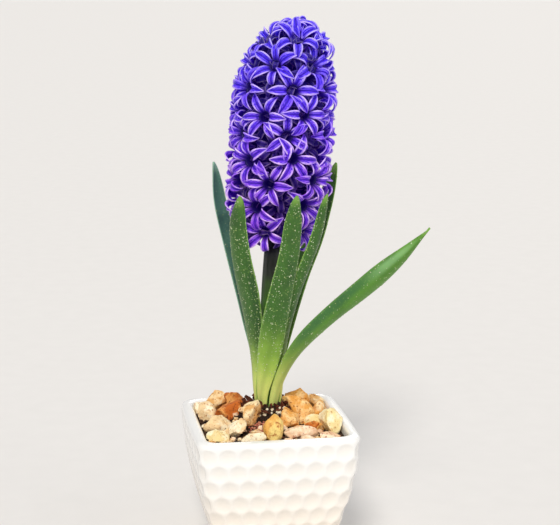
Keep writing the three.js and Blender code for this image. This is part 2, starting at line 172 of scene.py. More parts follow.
def over(tree, tones, tone, mask, strength):
    """Lays one tone thinly over others where a mask is high."""
    return blend(tree, times(tree, mask, strength), tones, tone)


def own_place(tree):
    """The point on the piece, in metres."""
    return add_node(tree, "ShaderNodeTexCoord").outputs["Object"]


def own_height(tree):
    return add_node(tree, "ShaderNodeSeparateXYZ", {0: own_place(tree)}).outputs["Z"]


def painted(tree, name):
    """A value that the piece's mesh carries at each vertex."""
    return add_node(tree, "ShaderNodeAttribute", attribute_name=name).outputs["Fac"]


print("what a finish can read:", [way.__name__ for way in (own_place, own_height, painted)])

# %% Start a material and wire its shader
def new_material(name, **uniform):
    """A material whose sockets that are the same all over are set right away."""
    material = bpy.data.materials.new(name)
    material.use_nodes = True
    shader = material.node_tree.nodes["Principled BSDF"]
    for key, value in uniform.items():
        shader.inputs[key.replace("_", " ")].default_value = value
    return material, material.node_tree, shader


def feed(tree, shader, colours, roughness=None, height=None, depth=0.2 * MM, strength=1.0):
    """Wires what changes over the surface into the shader."""
    tree.links.new(colours, shader.inputs["Base Color"])
    if roughness is not None:
        tree.links.new(roughness, shader.inputs["Roughness"])
    if height is not None:
        sockets = {"Height": height, "Distance": depth, "Strength": strength}
        bump = add_node(tree, "ShaderNodeBump", sockets)
        tree.links.new(bump.outputs["Normal"], shader.inputs["Normal"])


print("materials before the first finish:", len(bpy.data.materials))

# %% [markdown]
# ## Shared effects
#
# Two effects are wanted by many finishes. Plants have fibres that run lengthwise, in petals, leaves
# and stem alike, and mineral things are mottled in a few tones. Each could be wired again in every
# material. A node group is built once and placed wherever it is needed with its own values, so it
# is the better way for anything used twice.

# %% Build the fibres
def new_group(name, inputs, outputs):
    """An empty node group with its named sockets, and its two end nodes."""
    group = bpy.data.node_groups.new(name, "ShaderNodeTree")
    for label, kind in inputs:
        group.interface.new_socket(label, in_out="INPUT", socket_type=kind)
    for label, kind in outputs:
        group.interface.new_socket(label, in_out="OUTPUT", socket_type=kind)
    return group, group.nodes.new("NodeGroupInput"), group.nodes.new("NodeGroupOutput")


def build_fibres():
    """Lines that run lengthwise and wander a little: 1 on a line and 0 between lines."""
    number = "NodeSocketFloat"
    wanted = [(label, number) for label in ("Across", "Along", "Lines", "Wander")]
    group, start, end = new_group("fibres", wanted, [("Mask", number)])
    across, along, lines, wander = (start.outputs[label] for label, _ in wanted)
    strip = add_node(group, "ShaderNodeCombineXYZ", {0: across, 1: times(group, along, 2.0)})
    drift = maths(group, "SUBTRACT", noise(group, strip.outputs[0], 3.0), 0.5)
    shifted = plus(group, across, times(group, drift, wander))
    phase = times(group, shifted, lines)
    wave = maths(group, "SINE", times(group, phase, math.pi))
    group.links.new(maths(group, "POWER", maths(group, "ABSOLUTE", wave), 3.0), end.inputs["Mask"])
    return group


FIBRES = build_fibres()


def fibres(tree, across, along, lines, wander):
    sockets = {"Across": across, "Along": along, "Lines": lines, "Wander": wander}
    return add_node(tree, "ShaderNodeGroup", sockets, node_tree=FIBRES).outputs["Mask"]


print("nodes in the fibres:", len(FIBRES.nodes))

# %% Build the mottle
def build_mottle():
    """Three tones of one mineral, and a height that is rough like a broken face."""
    tone, number = "NodeSocketColor", "NodeSocketFloat"
    wanted = [("Vector", "NodeSocketVector"), ("Scale", number)]
    wanted += [("Main", tone), ("Light", tone), ("Dark", tone)]
    group, start, end = new_group("mottle", wanted, [("Colour", tone), ("Height", number)])
    where, scale, main, light, dark = (start.outputs[label] for label, _ in wanted)
    broad = noise(group, where, scale, 4.0, 0.6)
    finer = noise(group, where, times(group, scale, 3.7), 5.0, 0.65)
    grit = noise(group, where, times(group, scale, 14.0), 3.0, 0.6)
    tones = blend(group, ease(group, broad, 0.42, 0.62), main, light)
    tones = blend(group, ease(group, finer, 0.53, 0.68), tones, dark)
    group.links.new(tones, end.inputs["Colour"])
    height = plus(group, times(group, finer, 0.7), times(group, grit, 0.3))
    group.links.new(height, end.inputs["Height"])
    return group


MOTTLE = build_mottle()


def mottle(tree, scale, main, light, dark):
    sockets = {"Vector": own_place(tree), "Scale": scale, "Main": main, "Light": light, "Dark": dark}
    made = add_node(tree, "ShaderNodeGroup", sockets, node_tree=MOTTLE)
    return made.outputs["Colour"], made.outputs["Height"]


print("nodes in the mottle:", len(MOTTLE.nodes))

# %% [markdown]
# ## Modelling helpers
#
# Most pieces start as a primitive and are shaped in edit mode. Operators work on whatever is
# selected, so a fresh piece is always made with everything else deselected, and it gets its name
# at once. Numbers that a finish reads later, such as how far along a leaf a point lies, are kept
# on the mesh as attributes.

# %% Start, copy and join pieces
def fresh():
    bpy.ops.object.select_all(action="DESELECT")


def named(name):
    piece = bpy.context.active_object
    piece.name = name
    piece.data.name = name
    return piece


def copied(model):
    """A copy with a mesh of its own."""
    copy = model.copy()
    copy.data = model.data.copy()
    bpy.context.scene.collection.objects.link(copy)
    return copy


def put_away(models):
    """Removes models that have been copied often enough."""
    for model in models:
        bpy.data.objects.remove(model)


def join(pieces, name):
    """Joins pieces into the first one."""
    fresh()
    for piece in pieces:
        piece.select_set(True)
    bpy.context.view_layer.objects.active = pieces[0]
    bpy.ops.object.join()
    return named(name)


# %% Finish pieces
def apply_modifier(piece, kind, **settings):
    """Adds a modifier to a piece and applies it."""
    bpy.context.view_layer.objects.active = piece
    modifier = piece.modifiers.new(kind.lower(), kind)
    for key, value in settings.items():
        setattr(modifier, key, value)
    bpy.ops.object.modifier_apply(modifier=modifier.name)


def turn_outwards():
    """Turns the faces of the piece in edit mode outwards, and leaves edit mode."""
    bpy.ops.mesh.select_all(action="SELECT")
    bpy.ops.mesh.normals_make_consistent(inside=False)
    bpy.ops.object.mode_set(mode="OBJECT")


def keep_values(piece, name, values):
    """Stores one number for each vertex, for modifiers to carry along and shaders to read."""
    attribute = piece.data.attributes.new(name, "FLOAT", "POINT")
    attribute.data.foreach_set("value", values)


def smooth(piece):
    for face in piece.data.polygons:
        face.use_smooth = True


def dress(piece, material, replaces=()):
    """Gives a finished piece its material and its place in the frame."""
    piece.data.materials.clear()
    piece.data.materials.append(material)
    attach(piece, "root")
    if replaces:
        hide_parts(*replaces)
    return piece


# %% Work with shares, draws and directions
def mix(low, high, share):
    return low + (high - low) * share


def smoothstep(value, low, high):
    share = min(1, max(0, (value - low) / (high - low)))
    return share * share * (3 - 2 * share)


def seeded_draw(state, factor=16807, most=2**31 - 1):
    """Numbers from 0 to 1, the same ones on every run."""
    while True:
        state = (state * factor) % most
        yield state / most


def towards(angle):
    """A level direction: 0 degrees is the front, and positive angles turn towards +X."""
    return Vector((math.sin(math.radians(angle)), -math.cos(math.radians(angle)), 0))


def upright(z):
    """A point on a straight line up from the origin."""
    return Vector((0, 0, z))


print("a quarter of the way up a smooth step:", smoothstep(0.25, 0, 1))

# %% [markdown]
# ## The line of the stalk
#
# The stalk of a forced hyacinth stands upright and then leans under its heavy head. Stalk, head
# and leaves all follow from where that line runs, so it is one function. A curve object could hold
# it too, but a formula is shorter when the line has a single bend.

# %% Where the stalk runs
NECK = Vector((0.5, 3, 0)) * MM
SOIL_LEVEL = 73.5 * MM
BEND_HEIGHT = 154 * MM
BEND_LENGTH = 20 * MM
LEAN = 0.0685
NOD = 0.024
TIP_HEIGHT = 284 * MM
TIP_LEAN = 0.33


def stalk_line(z):
    """The middle of the stalk at a height."""
    past = z - BEND_HEIGHT
    leaning = (past + math.hypot(past, BEND_LENGTH)) / 2
    x = NECK.x + LEAN * leaning + TIP_LEAN * max(0, z - TIP_HEIGHT)
    return Vector((x, NECK.y - NOD * (z - SOIL_LEVEL), z))


print("the head's top leans by mm:", round(stalk_line(300 * MM).x / MM, 1))

# %% [markdown]
# ## Stalk and the core of the head
#
# The stalk is a juicy round stem, green at the bulb and brownish purple under the flowers. A
# cylinder could be bent along a curve with a modifier. Here a small disc is extruded ring by ring,
# as one would by hand, and each ring is moved and resized to the stem's line and width. Its own
# faint ridges are left to the finish.

# %% Extrude a disc ring by ring
def extrude_rings(rings, line):
    """Extrudes what is selected from ring to ring: places on a line, and half widths."""
    for (low, half), (high, next_half) in zip(rings, rings[1:]):
        centre = line(high * MM)
        bpy.ops.mesh.extrude_region_move(TRANSFORM_OT_translate={"value": centre - line(low * MM)})
        share = next_half / half
        bpy.ops.transform.resize(value=(share, share, 1), center_override=centre)
    turn_outwards()


def grow(name, sides, rings, line):
    """A round stem along a line."""
    fresh()
    place, radius = rings[0]
    bpy.ops.mesh.primitive_circle_add(
        vertices=sides, radius=radius * MM, fill_type="NGON", location=line(place * MM)
    )
    piece = named(name)
    bpy.ops.object.transform_apply(location=True)
    bpy.ops.object.mode_set(mode="EDIT")
    bpy.ops.mesh.select_all(action="SELECT")
    extrude_rings(rings, line)
    return piece


print("where the stalk enters the head, in mm:", [round(v / MM, 1) for v in stalk_line(180 * MM)])

# %% Grow the stalk and the core
STEM_SIDES = 24
# Heights and radii in millimetres.
STALK_RINGS = [(77.4, 4.7), (86, 4.75), (95, 4.8), (105, 4.95), (115, 5.05), (125, 5.08),
               (135, 5.05), (145, 5.0), (155, 4.9), (163, 4.8), (170, 4.7), (176.1, 4.6)]
CORE_RINGS = [(176.5, 4.6), (190, 5.2), (200, 7.2), (212, 8.4), (230, 8.6), (250, 8.4),
              (268, 7.8), (280, 6.4), (288, 4.2), (292, 1.8)]
stalk = grow("stalk_fine", STEM_SIDES, STALK_RINGS, stalk_line)
core = grow("head_core", STEM_SIDES, CORE_RINGS, stalk_line)
for stem, rings in ((stalk, STALK_RINGS), (core, CORE_RINGS)):
    smooth(stem)
    outs = [vertex.co - stalk_line(vertex.co.z) for vertex in stem.data.vertices]
    foot = rings[0][0] * MM
    keep_values(stem, "along", [(vertex.co.z - foot) / (100 * MM) for vertex in stem.data.vertices])
    keep_values(stem, "across", [math.sin(2 * math.atan2(out.y, out.x)) for out in outs])
print("stem faces:", len(stalk.data.polygons), "and", len(core.data.polygons))

# %% Finish the stalk and the core
def stalk_finish():
    """Green low down, brown purple near the flowers, with faint lengthwise ridges."""
    material, tree, shader = new_material("stalk_skin", Roughness=0.42, Coat_Weight=0.15)
    along = painted(tree, "along")
    rising = plus(tree, along, times(tree, noise(tree, own_place(tree), 90.0), 0.3))
    tones = blend(tree, ease(tree, rising, 0.78, 1.02), "#4a7a26", "#343a2c")
    tones = blend(tree, ease(tree, rising, 0.9, 1.4), tones, "#2b1f33")
    lines = fibres(tree, painted(tree, "across"), along, 9.0, 0.3)
    tones = over(tree, tones, "#1d1a1c", lines, 0.3)
    feed(tree, shader, tones, height=lines, depth=0.15 * MM, strength=0.5)
    return material


def core_finish():
    """Painted shade: a dark violet, seen only between the florets."""
    material, tree, shader = new_material("core_shade", Roughness=0.6, Specular_IOR_Level=0.2)
    feed(tree, shader, blend(tree, noise(tree, own_place(tree), 150.0), "#0b0618", "#1a1036"))
    return material


dress(stalk, stalk_finish(), ["stalk"])
dress(core, core_finish(), ["flower_head"])
print("stem materials:", [stem.data.materials[0].name for stem in (stalk, core)])

# %% [markdown]
# ## One floret
#
# A hyacinth floret is a fleshy tube that opens into six pointed lobes, the tepals. They arch out
# from the mouth, are widest past their middle and curl back at the tip. A tepal could be a flat
# cut-out bent with modifiers, but its three curves have to agree with each other: the arch along
# it, the shallow channel across it, and the outline. So a grid is added and each of its points is
# laid where those curves put it. Thickness comes last, from Solidify. A few floret models differ
# in how far they have opened, because no two real ones are alike.

# %% Draw the curves of a tepal
TEPALS = 6
FINE_GRID = (12, 6)
COARSE_GRID = (7, 2)
TEPAL_THICKNESS = 0.6 * MM
TEPAL_HALF_WIDTH = 2.15 * MM
# The arch along a tepal: away from the floret's axis, and forward of its mouth.
OPEN_ARCH = [(2.1, -4.2), (2.7, -1.4), (4.4, 1.1), (7.0, 2.6), (9.8, 2.5), (12.4, 1.1), (14.2, -0.8)]
CURLED_ARCH = [(2.1, -4.2), (2.8, -1.2), (4.8, 1.4), (7.8, 2.7), (10.6, 1.9), (12.4, -0.4), (12.9, -3)]
ROLLED_ARCH = [(2.1, -4.2), (2.8, -1.2), (4.7, 1.7), (7.4, 3), (9.8, 2), (10.9, -0.6), (10, -3.4)]
YOUNG_ARCH = [(2.0, -4.2), (2.4, -1.2), (3.7, 1.9), (5.6, 4.2), (7.7, 5.3), (9.7, 5.4), (11.2, 4.4)]


def along_path(points, share):
    """A smooth line through points, at a share of the way from the first to the last."""
    place = share * (len(points) - 1)
    k = min(int(place), len(points) - 2)
    t = place - k
    b, c = points[k], points[k + 1]
    a = points[k - 1] if k else 2 * b - c
    d = points[k + 2] if k + 2 < len(points) else 2 * c - b
    before, during, after = (math.sqrt((q - p).length) for p, q in ((a, b), (b, c), (c, d)))
    leaving = ((b - a) / before - (c - a) / (before + during) + (c - b) / during) * during
    coming = ((c - b) / during - (d - b) / (during + after) + (d - c) / after) * during
    curve = 3 * (c - b) - 2 * leaving - coming
    return b + leaving * t + curve * t * t + (2 * (b - c) + leaving + coming) * t**3


def tepal_half(along):
    """Half the tepal's width: narrow at the mouth, widest past the middle, pointed."""
    swelling = mix(0.6, 1, smoothstep(along, 0.08, 0.55))
    closing = 1 - smoothstep(along, 0.52, 1.06) ** 1.1
    return TEPAL_HALF_WIDTH * swelling * max(closing, 0.03)


print("a tepal's widest half in mm:", round(max(tepal_half(i / 50) for i in range(51)) / MM, 2))

# %% Shape one tepal
# How far its middle ridge stands out, and the ridge's width as a share of half the tepal's.
RIDGE_HEIGHT, RIDGE_SHARE = 0.16 * MM, 0.16
SLOPE_STEP = 0.01


def make_tepal(arch, grid, channel, lean, longer, twist):
    """One tepal whose midline rises in the local XZ plane, X being away from the axis."""
    arch = [Vector(point) for point in arch]
    fresh()
    bpy.ops.mesh.primitive_grid_add(x_subdivisions=grid[0], y_subdivisions=grid[1], size=2)
    tepal = named("tepal")
    alongs, acrosses = [], []
    for vertex in tepal.data.vertices:
        along, across = (vertex.co.x + 1) / 2, vertex.co.y
        out, ahead = along_path(arch, along)
        further = along_path(arch, min(1, along + SLOPE_STEP))
        nearer = along_path(arch, max(0, along - SLOPE_STEP))
        slope = Vector((further[0] - nearer[0], 0, further[1] - nearer[1])).normalized()
        face = Vector((-slope.z, 0, slope.x))
        half = tepal_half(along)
        raised = channel * half * (across**2) * smoothstep(along, 0.1, 0.45)
        ridge = RIDGE_HEIGHT * math.exp(-((across / RIDGE_SHARE) ** 2))
        rolled = twist * half * across * smoothstep(along, 0.3, 1)
        place = Vector((out * (1 + longer * along), 0, ahead)) * MM
        place += face * (raised - ridge + rolled)
        place.y += half * across + lean * MM * along**2
        vertex.co = place
        alongs.append(along)
        acrosses.append(across)
    keep_values(tepal, "along", alongs)
    keep_values(tepal, "across", acrosses)
    apply_modifier(tepal, "SOLIDIFY", thickness=TEPAL_THICKNESS, offset=-1, use_even_offset=False)
    return tepal


print("how far an open tepal reaches from the axis, in mm:", OPEN_ARCH[-1][0])

# %% [markdown]
# The tube is made as the stalk was, by extruding a circle ring by ring, but it is hollow at the
# mouth. Its far end is left as long as the longest tube in the head. Each copy is shortened later
# so that it just reaches the core.

# %% Shape the tube
TUBE_SIDES = 12
TUBE_LENGTH = 26.0
# Outside from the root to the mouth, then back down the throat: place on the axis, radius.
TUBE_RINGS = [(-TUBE_LENGTH, 2.4), (-20, 3.1), (-13, 3.3), (-7, 3.0), (-3.5, 2.9), (-1.2, 3.25),
              (-0.6, 3.3), (-1.4, 2.75), (-3.8, 2.2), (-7, 1.9)]


def make_tube():
    tube = grow("tube", TUBE_SIDES, TUBE_RINGS, upright)
    count = len(tube.data.vertices)
    keep_values(tube, "along", [-1.0] * count)
    keep_values(tube, "across", [0.0] * count)
    return tube


print("rings of a tube:", len(TUBE_RINGS))

# %% Put floret models together
OUTER_BACK, INNER_FORWARD = -0.35, 0.15  # how far the tepals stand ahead of the mouth


def make_floret(name, arches, seed, grid=FINE_GRID):
    """Six tepals on a tube. The outer three lie a little behind the inner three."""
    draw = random.Random(seed)
    parts = [make_tube()]
    for k in range(TEPALS):
        tepal = make_tepal(
            arches[k % len(arches)],
            grid,
            channel=draw.uniform(0.3, 0.75),
            lean=draw.uniform(-1.3, 1.3),
            longer=draw.uniform(-0.08, 0.05),
            twist=draw.uniform(-0.4, 0.4),
        )
        ahead = Matrix.Translation((0, 0, (OUTER_BACK if k % 2 else INNER_FORWARD) * MM))
        tepal.data.transform(Matrix.Rotation(math.radians(60 * k + 30), 4, "Z") @ ahead)
        parts.append(tepal)
    floret = join(parts, name)
    smooth(floret)
    return floret


FLORETS = [
    make_floret("floret_open", [OPEN_ARCH, OPEN_ARCH, OPEN_ARCH, CURLED_ARCH], seed=11),
    make_floret("floret_mixed", [OPEN_ARCH, CURLED_ARCH, OPEN_ARCH, OPEN_ARCH, ROLLED_ARCH], seed=12),
    make_floret("floret_curled", [CURLED_ARCH, ROLLED_ARCH], seed=13),
    make_floret("floret_wide", [OPEN_ARCH], seed=15),
    make_floret(
        "floret_young",
        [YOUNG_ARCH, YOUNG_ARCH, OPEN_ARCH, ROLLED_ARCH, ROLLED_ARCH, CURLED_ARCH],
        seed=14,
    ),
]
INNER_FLORET = make_floret("floret_inner", [CURLED_ARCH, OPEN_ARCH], seed=16, grid=COARSE_GRID)
print("floret models:", [(model.name, len(model.data.polygons)) for model in (*FLORETS, INNER_FLORET)])

# %% [markdown]
# ## Petal finish
#
# Each tepal is deep blue violet with a darker stripe along its middle and a pale lilac margin. The
# margin and lilac streaks on the body are brightened by painted highlights, and the throat is painted
# nearly black as shade. Painting a texture would need an unwrapped map for every floret. The
# mesh already knows how far along and across each point lies, so a few eased masks over those two
# numbers give stripe, margin and throat on all florets at once. Low florets are older and redder
# than the high ones, which is read from the height. Florets deep in the head and the outsides of
# the tubes get painted shade. Light that comes through so many thin tepals leaves even the shade
# between them violet. A faint painted glow of that colour stands for it, since tracing it through
# every tepal would take far longer.

# %% Colour the body and the margin of a petal
def petal_body(tree, by_height, edge, streaks, veins):
    """Deep and lively violet in streaks, with painted lilac highlights beside a dark midline."""
    deep, lively = by_height("#4311b4", "#2d14cf"), by_height("#7a2ae6", "#5030ff")
    body = blend(tree, ease(tree, streaks, 0.36, 0.56), deep, lively)
    # lit marks the painted highlights: lilac streaks away from the midline.
    lit = times(tree, ease(tree, streaks, 0.46, 0.62), ease(tree, edge, 0.1, 0.5))
    body = over(tree, body, by_height("#c47af8", "#937cff"), lit, 0.85)
    body = over(tree, body, "#280c86", veins, 0.35)
    return over(tree, body, "#1f0870", rest_of(tree, ease(tree, edge, 0.04, 0.3)), 0.7)


def petal_rim(tree, by_height, patchy):
    """The margin's own pale lilac, brightened as painted highlight, and dimmer in patches."""
    bright, dim = by_height("#f4ccff", "#cabcff"), by_height("#a45ee6", "#7464fa")
    return blend(tree, ease(tree, patchy, 0.44, 0.66), bright, dim)


def pale_share(tree, along, edge, streaks):
    """Where a petal is pale: in a margin of uneven width and at the tip, but not in the throat."""
    uneven = times(tree, maths(tree, "SUBTRACT", streaks, 0.5), 0.9)
    margin = ease(tree, plus(tree, edge, uneven), 0.56, 1.04)
    tip = times(tree, ease(tree, along, 0.88, 1.02), 0.8)
    return times(tree, maths(tree, "MAXIMUM", margin, tip), ease(tree, along, 0.14, 0.42))


print("layers of a petal:", [layer.__name__ for layer in (petal_body, petal_rim)])

# %% Make the petal finish
HEAD_LOW = 185 * MM
HEAD_HIGH = 300 * MM


def petal_finish():
    """Violet petals with a throat painted nearly black as shade, painted shade deep in the head and on the
    tubes, and a faint painted glow.
    """
    material, tree, shader = new_material(
        "petal_skin", Roughness=0.48, Specular_IOR_Level=0.2, Subsurface_Weight=0.04,
        Subsurface_Scale=0.5 * MM, Coat_Weight=0.06, Coat_Roughness=0.3, Emission_Strength=0.15,
    )
    along, across, place = painted(tree, "along"), painted(tree, "across"), own_place(tree)
    edge = maths(tree, "ABSOLUTE", across)
    high = ease(tree, own_height(tree), HEAD_LOW, HEAD_HIGH)

    def by_height(low_tone, high_tone):
        return blend(tree, high, low_tone, high_tone)

    shift = times(tree, noise(tree, place, 50.0, 1.0), 14.0)
    lengthwise = add_node(tree, "ShaderNodeCombineXYZ", {0: times(tree, across, 3.2), 1: along, 2: shift})
    streaks = noise(tree, lengthwise.outputs[0], 1.7, 3.0, 0.6)
    veins = fibres(tree, across, along, 7.0, 0.25)
    pale = pale_share(tree, along, edge, streaks)
    # Painted shade: the throat and the outsides of the tubes are darkened.
    throat = rest_of(tree, ease(tree, along, 0.12, 0.42))
    outside = ease(tree, along, -0.5, -0.9)
    # Painted shade on the florets deep in the head, which are marked as inside.
    deep_shade = times(tree, painted(tree, "inside"), 0.72)

    tones = petal_body(tree, by_height, edge, streaks, veins)
    tones = blend(tree, pale, tones, petal_rim(tree, by_height, noise(tree, place, 110.0, 3.0)))
    tones = blend(tree, throat, tones, "#140430")
    tones = blend(tree, outside, tones, "#150a48")
    tones = blend(tree, deep_shade, tones, "#12073c")

    # A glow, painted light, stands for light through the tepals; painted shade dims it deep in the head.
    glow = blend(tree, pale, by_height("#2a00a8", "#3000e0"), "#8a30ff")
    depths = maths(tree, "MAXIMUM", deep_shade, times(tree, outside, 0.6))
    glow = blend(tree, depths, glow, "#0a0030")
    tree.links.new(glow, shader.inputs["Emission Color"])
    feed(tree, shader, tones, height=veins, depth=0.15 * MM, strength=0.6)
    return material


PETAL_SKIN = petal_finish()
print("nodes in the petal finish:", len(PETAL_SKIN.node_tree.nodes))

# %% [markdown]
# ## The flower head
#
# Florets stand in whorls up the stalk. They could be scattered over a surface at random, but a
# real head is orderly: each whorl has its height, its reach and its number of florets, and only
# small wobbles. The same rule and the same draws placed the plain solids, so the fine florets lie
# where their solids are. Only the last whorl stands lower, by 1.4 mm. Smaller florets deeper in the
# head close the view between the outer ones. Each whorl ends up as one piece.

# %% List the whorls
# Height of the mouths, reach from the stalk, count, first direction, upward tilt, model, and how
# many smaller florets stand behind each one.
WHORLS = [
    (188, 19, 5, -24, -6, 1, 3),
    (202, 23, 5, 32, -2, 0, 3),
    (215.5, 25, 6, -23, 2, 1, 3),
    (228, 24.8, 6, 8, 4, 0, 3),
    (240, 24.6, 6, -6, 6, 1, 3),
    (251.5, 24.4, 7, 16, 8, 0, 3),
    (265.5, 23.5, 6, -2, 14, 2, 3),
    (278, 20.5, 6, -27, 22, 1, 3),
    (290.5, 14.5, 5, -2, 38, 2, 1),
    (296.2, 4.5, 3, 62, 66, 1, 0),
]
# How far the florets that face the camera are turned, in degrees, and their models, by whorl. Each
# is the first of its whorl, but for the sixth whorl, where it is the last.
FACING = [(-10, 1), None, (35, 1), (30, 3), (0, 0), (30, 0), (30, 3), (0, 1), (0, 4), None]
LAST_FACES = 6
HEAD_SEED = 4177
# The most that a floret may stray: direction and tilt in degrees, height and reach in millimetres,
# and size as a share.
TURN_STRAY, TILT_STRAY, HEIGHT_STRAY, REACH_STRAY, SIZE_STRAY = 3, 6, 1.2, 0.8, 0.05
print("florets to place:", sum(count for _, _, count, *_ in WHORLS))

# %% Place one floret
MOUTH_LENGTH = 7 * MM  # of the tube, which keeps its shape when the rest is shortened
NEARLY_UPRIGHT = 0.9


def tilted(outward, tilt):
    """A level direction, tilted up by some degrees."""
    return outward * math.cos(math.radians(tilt)) + UP * math.sin(math.radians(tilt))


def place_floret(model, mouth, forward, roll, size, length):
    """A copy of a floret at its mouth, facing forward, with its tube cut to length."""
    helper = Vector((0, 1, 0)) if abs(forward.z) > NEARLY_UPRIGHT else UP
    right = forward.cross(helper).normalized()
    above = right.cross(forward)
    copy = copied(model)
    shrink = (length / size - MOUTH_LENGTH) / (TUBE_LENGTH * MM - MOUTH_LENGTH)
    for vertex in copy.data.vertices:
        if vertex.co.z < -MOUTH_LENGTH:
            vertex.co.z = (vertex.co.z + MOUTH_LENGTH) * shrink - MOUTH_LENGTH
    turned = Matrix((right, above, forward)).transposed().to_4x4()
    spin = Matrix.Rotation(roll, 4, "Z") @ Matrix.Scale(size, 4)
    copy.data.transform(Matrix.Translation(mouth) @ turned @ spin)
    # Right, above and forward are a left-handed frame. It mirrors the copy, so its faces are turned back.
    copy.data.flip_normals()
    return copy


print("the longest tube and its mouth in mm:", TUBE_LENGTH, round(MOUTH_LENGTH / MM, 1))

# %% Place the smaller florets deep in the head
INNER_SIZE = 0.8
# Where inner florets stand: rise in millimetres, steps between two outer ones, share of their reach.
INNER_SPOTS = [(0, 0.5, 0.72), (6.5, 0, 0.46), (6.5, 0.5, 0.76)]


def inner_floret(up, reach, direction, tilt, share):
    """A smaller floret behind the gap between two outer ones."""
    outward = towards(direction)
    mouth = stalk_line(up * MM) + outward * reach * share * MM
    # It may be turned in any way about its axis, so the number of its direction serves for that.
    floret = place_floret(
        INNER_FLORET, mouth, tilted(outward, tilt), direction, INNER_SIZE, reach * share * MM
    )
    # The petal finish paints shade on florets marked as inside.
    keep_values(floret, "inside", [1.0] * len(floret.data.vertices))
    return floret


print("smaller florets to place:", sum(count * inner for _, _, count, *_, inner in WHORLS))

# %% Fill the whorls
def fill_whorl(number, draw, up, reach, count, first, lift, favourite, inner):
    """All florets of one whorl, joined and dressed."""
    def stray(most):
        return (2 * next(draw) - 1) * most

    copies = []
    for i in range(count):
        outward = towards(first + i * 360 / count + stray(TURN_STRAY))
        mouth = stalk_line((up + stray(HEIGHT_STRAY)) * MM) + outward * (reach + stray(REACH_STRAY)) * MM
        tilt = lift + stray(TILT_STRAY)
        size = 1 + stray(SIZE_STRAY)
        length = reach * MM / math.cos(math.radians(tilt))
        roll = next(draw) * math.pi
        model = FLORETS[(favourite + i * i) % 3]
        known = FACING[number - 1]
        if known and i == (count - 1 if number == LAST_FACES else 0):
            roll, model = math.radians(known[0]), FLORETS[known[1]]
        copies.append(place_floret(model, mouth, tilted(outward, tilt), roll, size, length))
        for rise, step, share in INNER_SPOTS[:inner]:
            direction = first + (i + step) * 360 / count
            copies.append(inner_floret(up + rise, reach, direction, lift, share))
    return dress(join(copies, f"whorl_{number:02d}"), PETAL_SKIN, ["flower_head"])


draw = seeded_draw(HEAD_SEED)
whorls = [fill_whorl(number, draw, *whorl) for number, whorl in enumerate(WHORLS, start=1)]
put_away([*FLORETS, INNER_FLORET])
print("faces in the head:", sum(len(whorl.data.polygons) for whorl in whorls))

# %% [markdown]
# ## Leaves
#
# A hyacinth leaf is a thick strap. It leaves the bulb nearly wrapped round the stalk, opens into a
# shallow channel, and ends in a blunt tip that is drawn together like a boat's bow. An extruded
# profile along a curve would keep one width all the way. A grid whose rows are laid across the
# midrib can change width, channel and roll as it goes. Solidify makes it fleshy, with a vertex
# group that keeps the edges thin, and a subdivision rounds it.

# %% List the leaves
# Heights, distances and widths in millimetres, shares of them, and how far a leaf cups.
BULB_TOP = 77
COLLAR_TOP = 84
CLEARANCE = 0.35
LEAF_RING = 6.4
LEAF_BASE_WIDTH = 5.4
LEAF_THICKNESS = 2.2
LEAF_THINNING = 0.62
LEAF_NARROWING = 0.27
LEAF_EDGE = 0.5
LEAF_CUP = math.radians(84)
TIP_CUP = math.radians(50)
LEAF_ROWS = 40
LEAF_COLUMNS = 10
# Name, direction of the base, width, roll, and the midrib from above the bulb, in millimetres.
LEAVES = [
    ("leaf_front", -40, 15.6, 0, [(-4.1, -4.3, 95), (-2.5, -9.8, 110), (0.8, -15.6, 134),
     (3.8, -22, 155), (6.9, -28, 176), (8, -33.5, 196), (8.9, -36.5, 211)]),
    ("leaf_front_left", -100, 16.4, 14, [(-7.2, 3.4, 97), (-8.4, 0.6, 112), (-11, -4.6, 133),
     (-14.6, -10.6, 154), (-18.8, -15, 174), (-21, -18.5, 194), (-19.4, -22, 209)]),
    ("leaf_back_left", -160, 11.6, -34, [(-3.1, 10.5, 100), (-6, 12.2, 118), (-10.4, 12.8, 135),
     (-14, 14.8, 152), (-19.6, 18, 176), (-24.8, 20.4, 198), (-28, 20.8, 222)]),
    ("leaf_back_right", 140, 12.8, 58, [(6.2, 9.2, 100), (9.6, 10.2, 118), (15, 10.6, 141),
     (20.4, 10.4, 160), (28.2, 10, 180), (34.2, 9.4, 202), (39.5, 8.6, 222)]),
    ("leaf_right", 80, 12.6, 0, [(7.9, 2, 96), (8.6, -0.3, 111), (9.4, -5, 127),
     (12.4, -12.4, 148), (17.4, -20.4, 168), (23, -27, 189), (26.4, -30.4, 210.5)]),
    ("leaf_outer_right", 20, 16, -44, [(4.1, -4.5, 95), (7.7, -7.4, 106), (15.5, -12, 120.4),
     (32, -16.7, 138.2), (53.4, -21.6, 157.5), (71.8, -24.9, 175.2), (84.6, -27.3, 190.2)]),
]
POINTED_LEAF = "leaf_outer_right"
print("leaves to lay:", len(LEAVES))

# %% Measure along a leaf
def leaf_span(along, width, pointed):
    """It widens out of the bulb, narrows slowly in its upper half, and ends blunt or pointed."""
    widening = mix(LEAF_BASE_WIDTH, width, smoothstep(along, 0, 0.44 if pointed else 0.4))
    narrowing = 1 - LEAF_NARROWING * smoothstep(along, 0.45, 0.92)
    if pointed:
        end = max(0, (along - 0.68) / 0.32)
        return widening * max(0.0001, 1 - end**2.2) ** 1.25 * MM
    tip = max(0, (along - 0.83) / 0.17)
    return widening * narrowing * max(0.005, 1 - tip * tip) ** 0.62 * MM


def even_line(points, samples=400):
    """Points along a smooth line and how far along each one is, from 0 to 1."""
    line = [along_path(points, i / samples) for i in range(samples + 1)]
    gone = [0.0]
    for a, b in zip(line, line[1:]):
        gone.append(gone[-1] + (b - a).length)
    return line, [g / gone[-1] for g in gone]


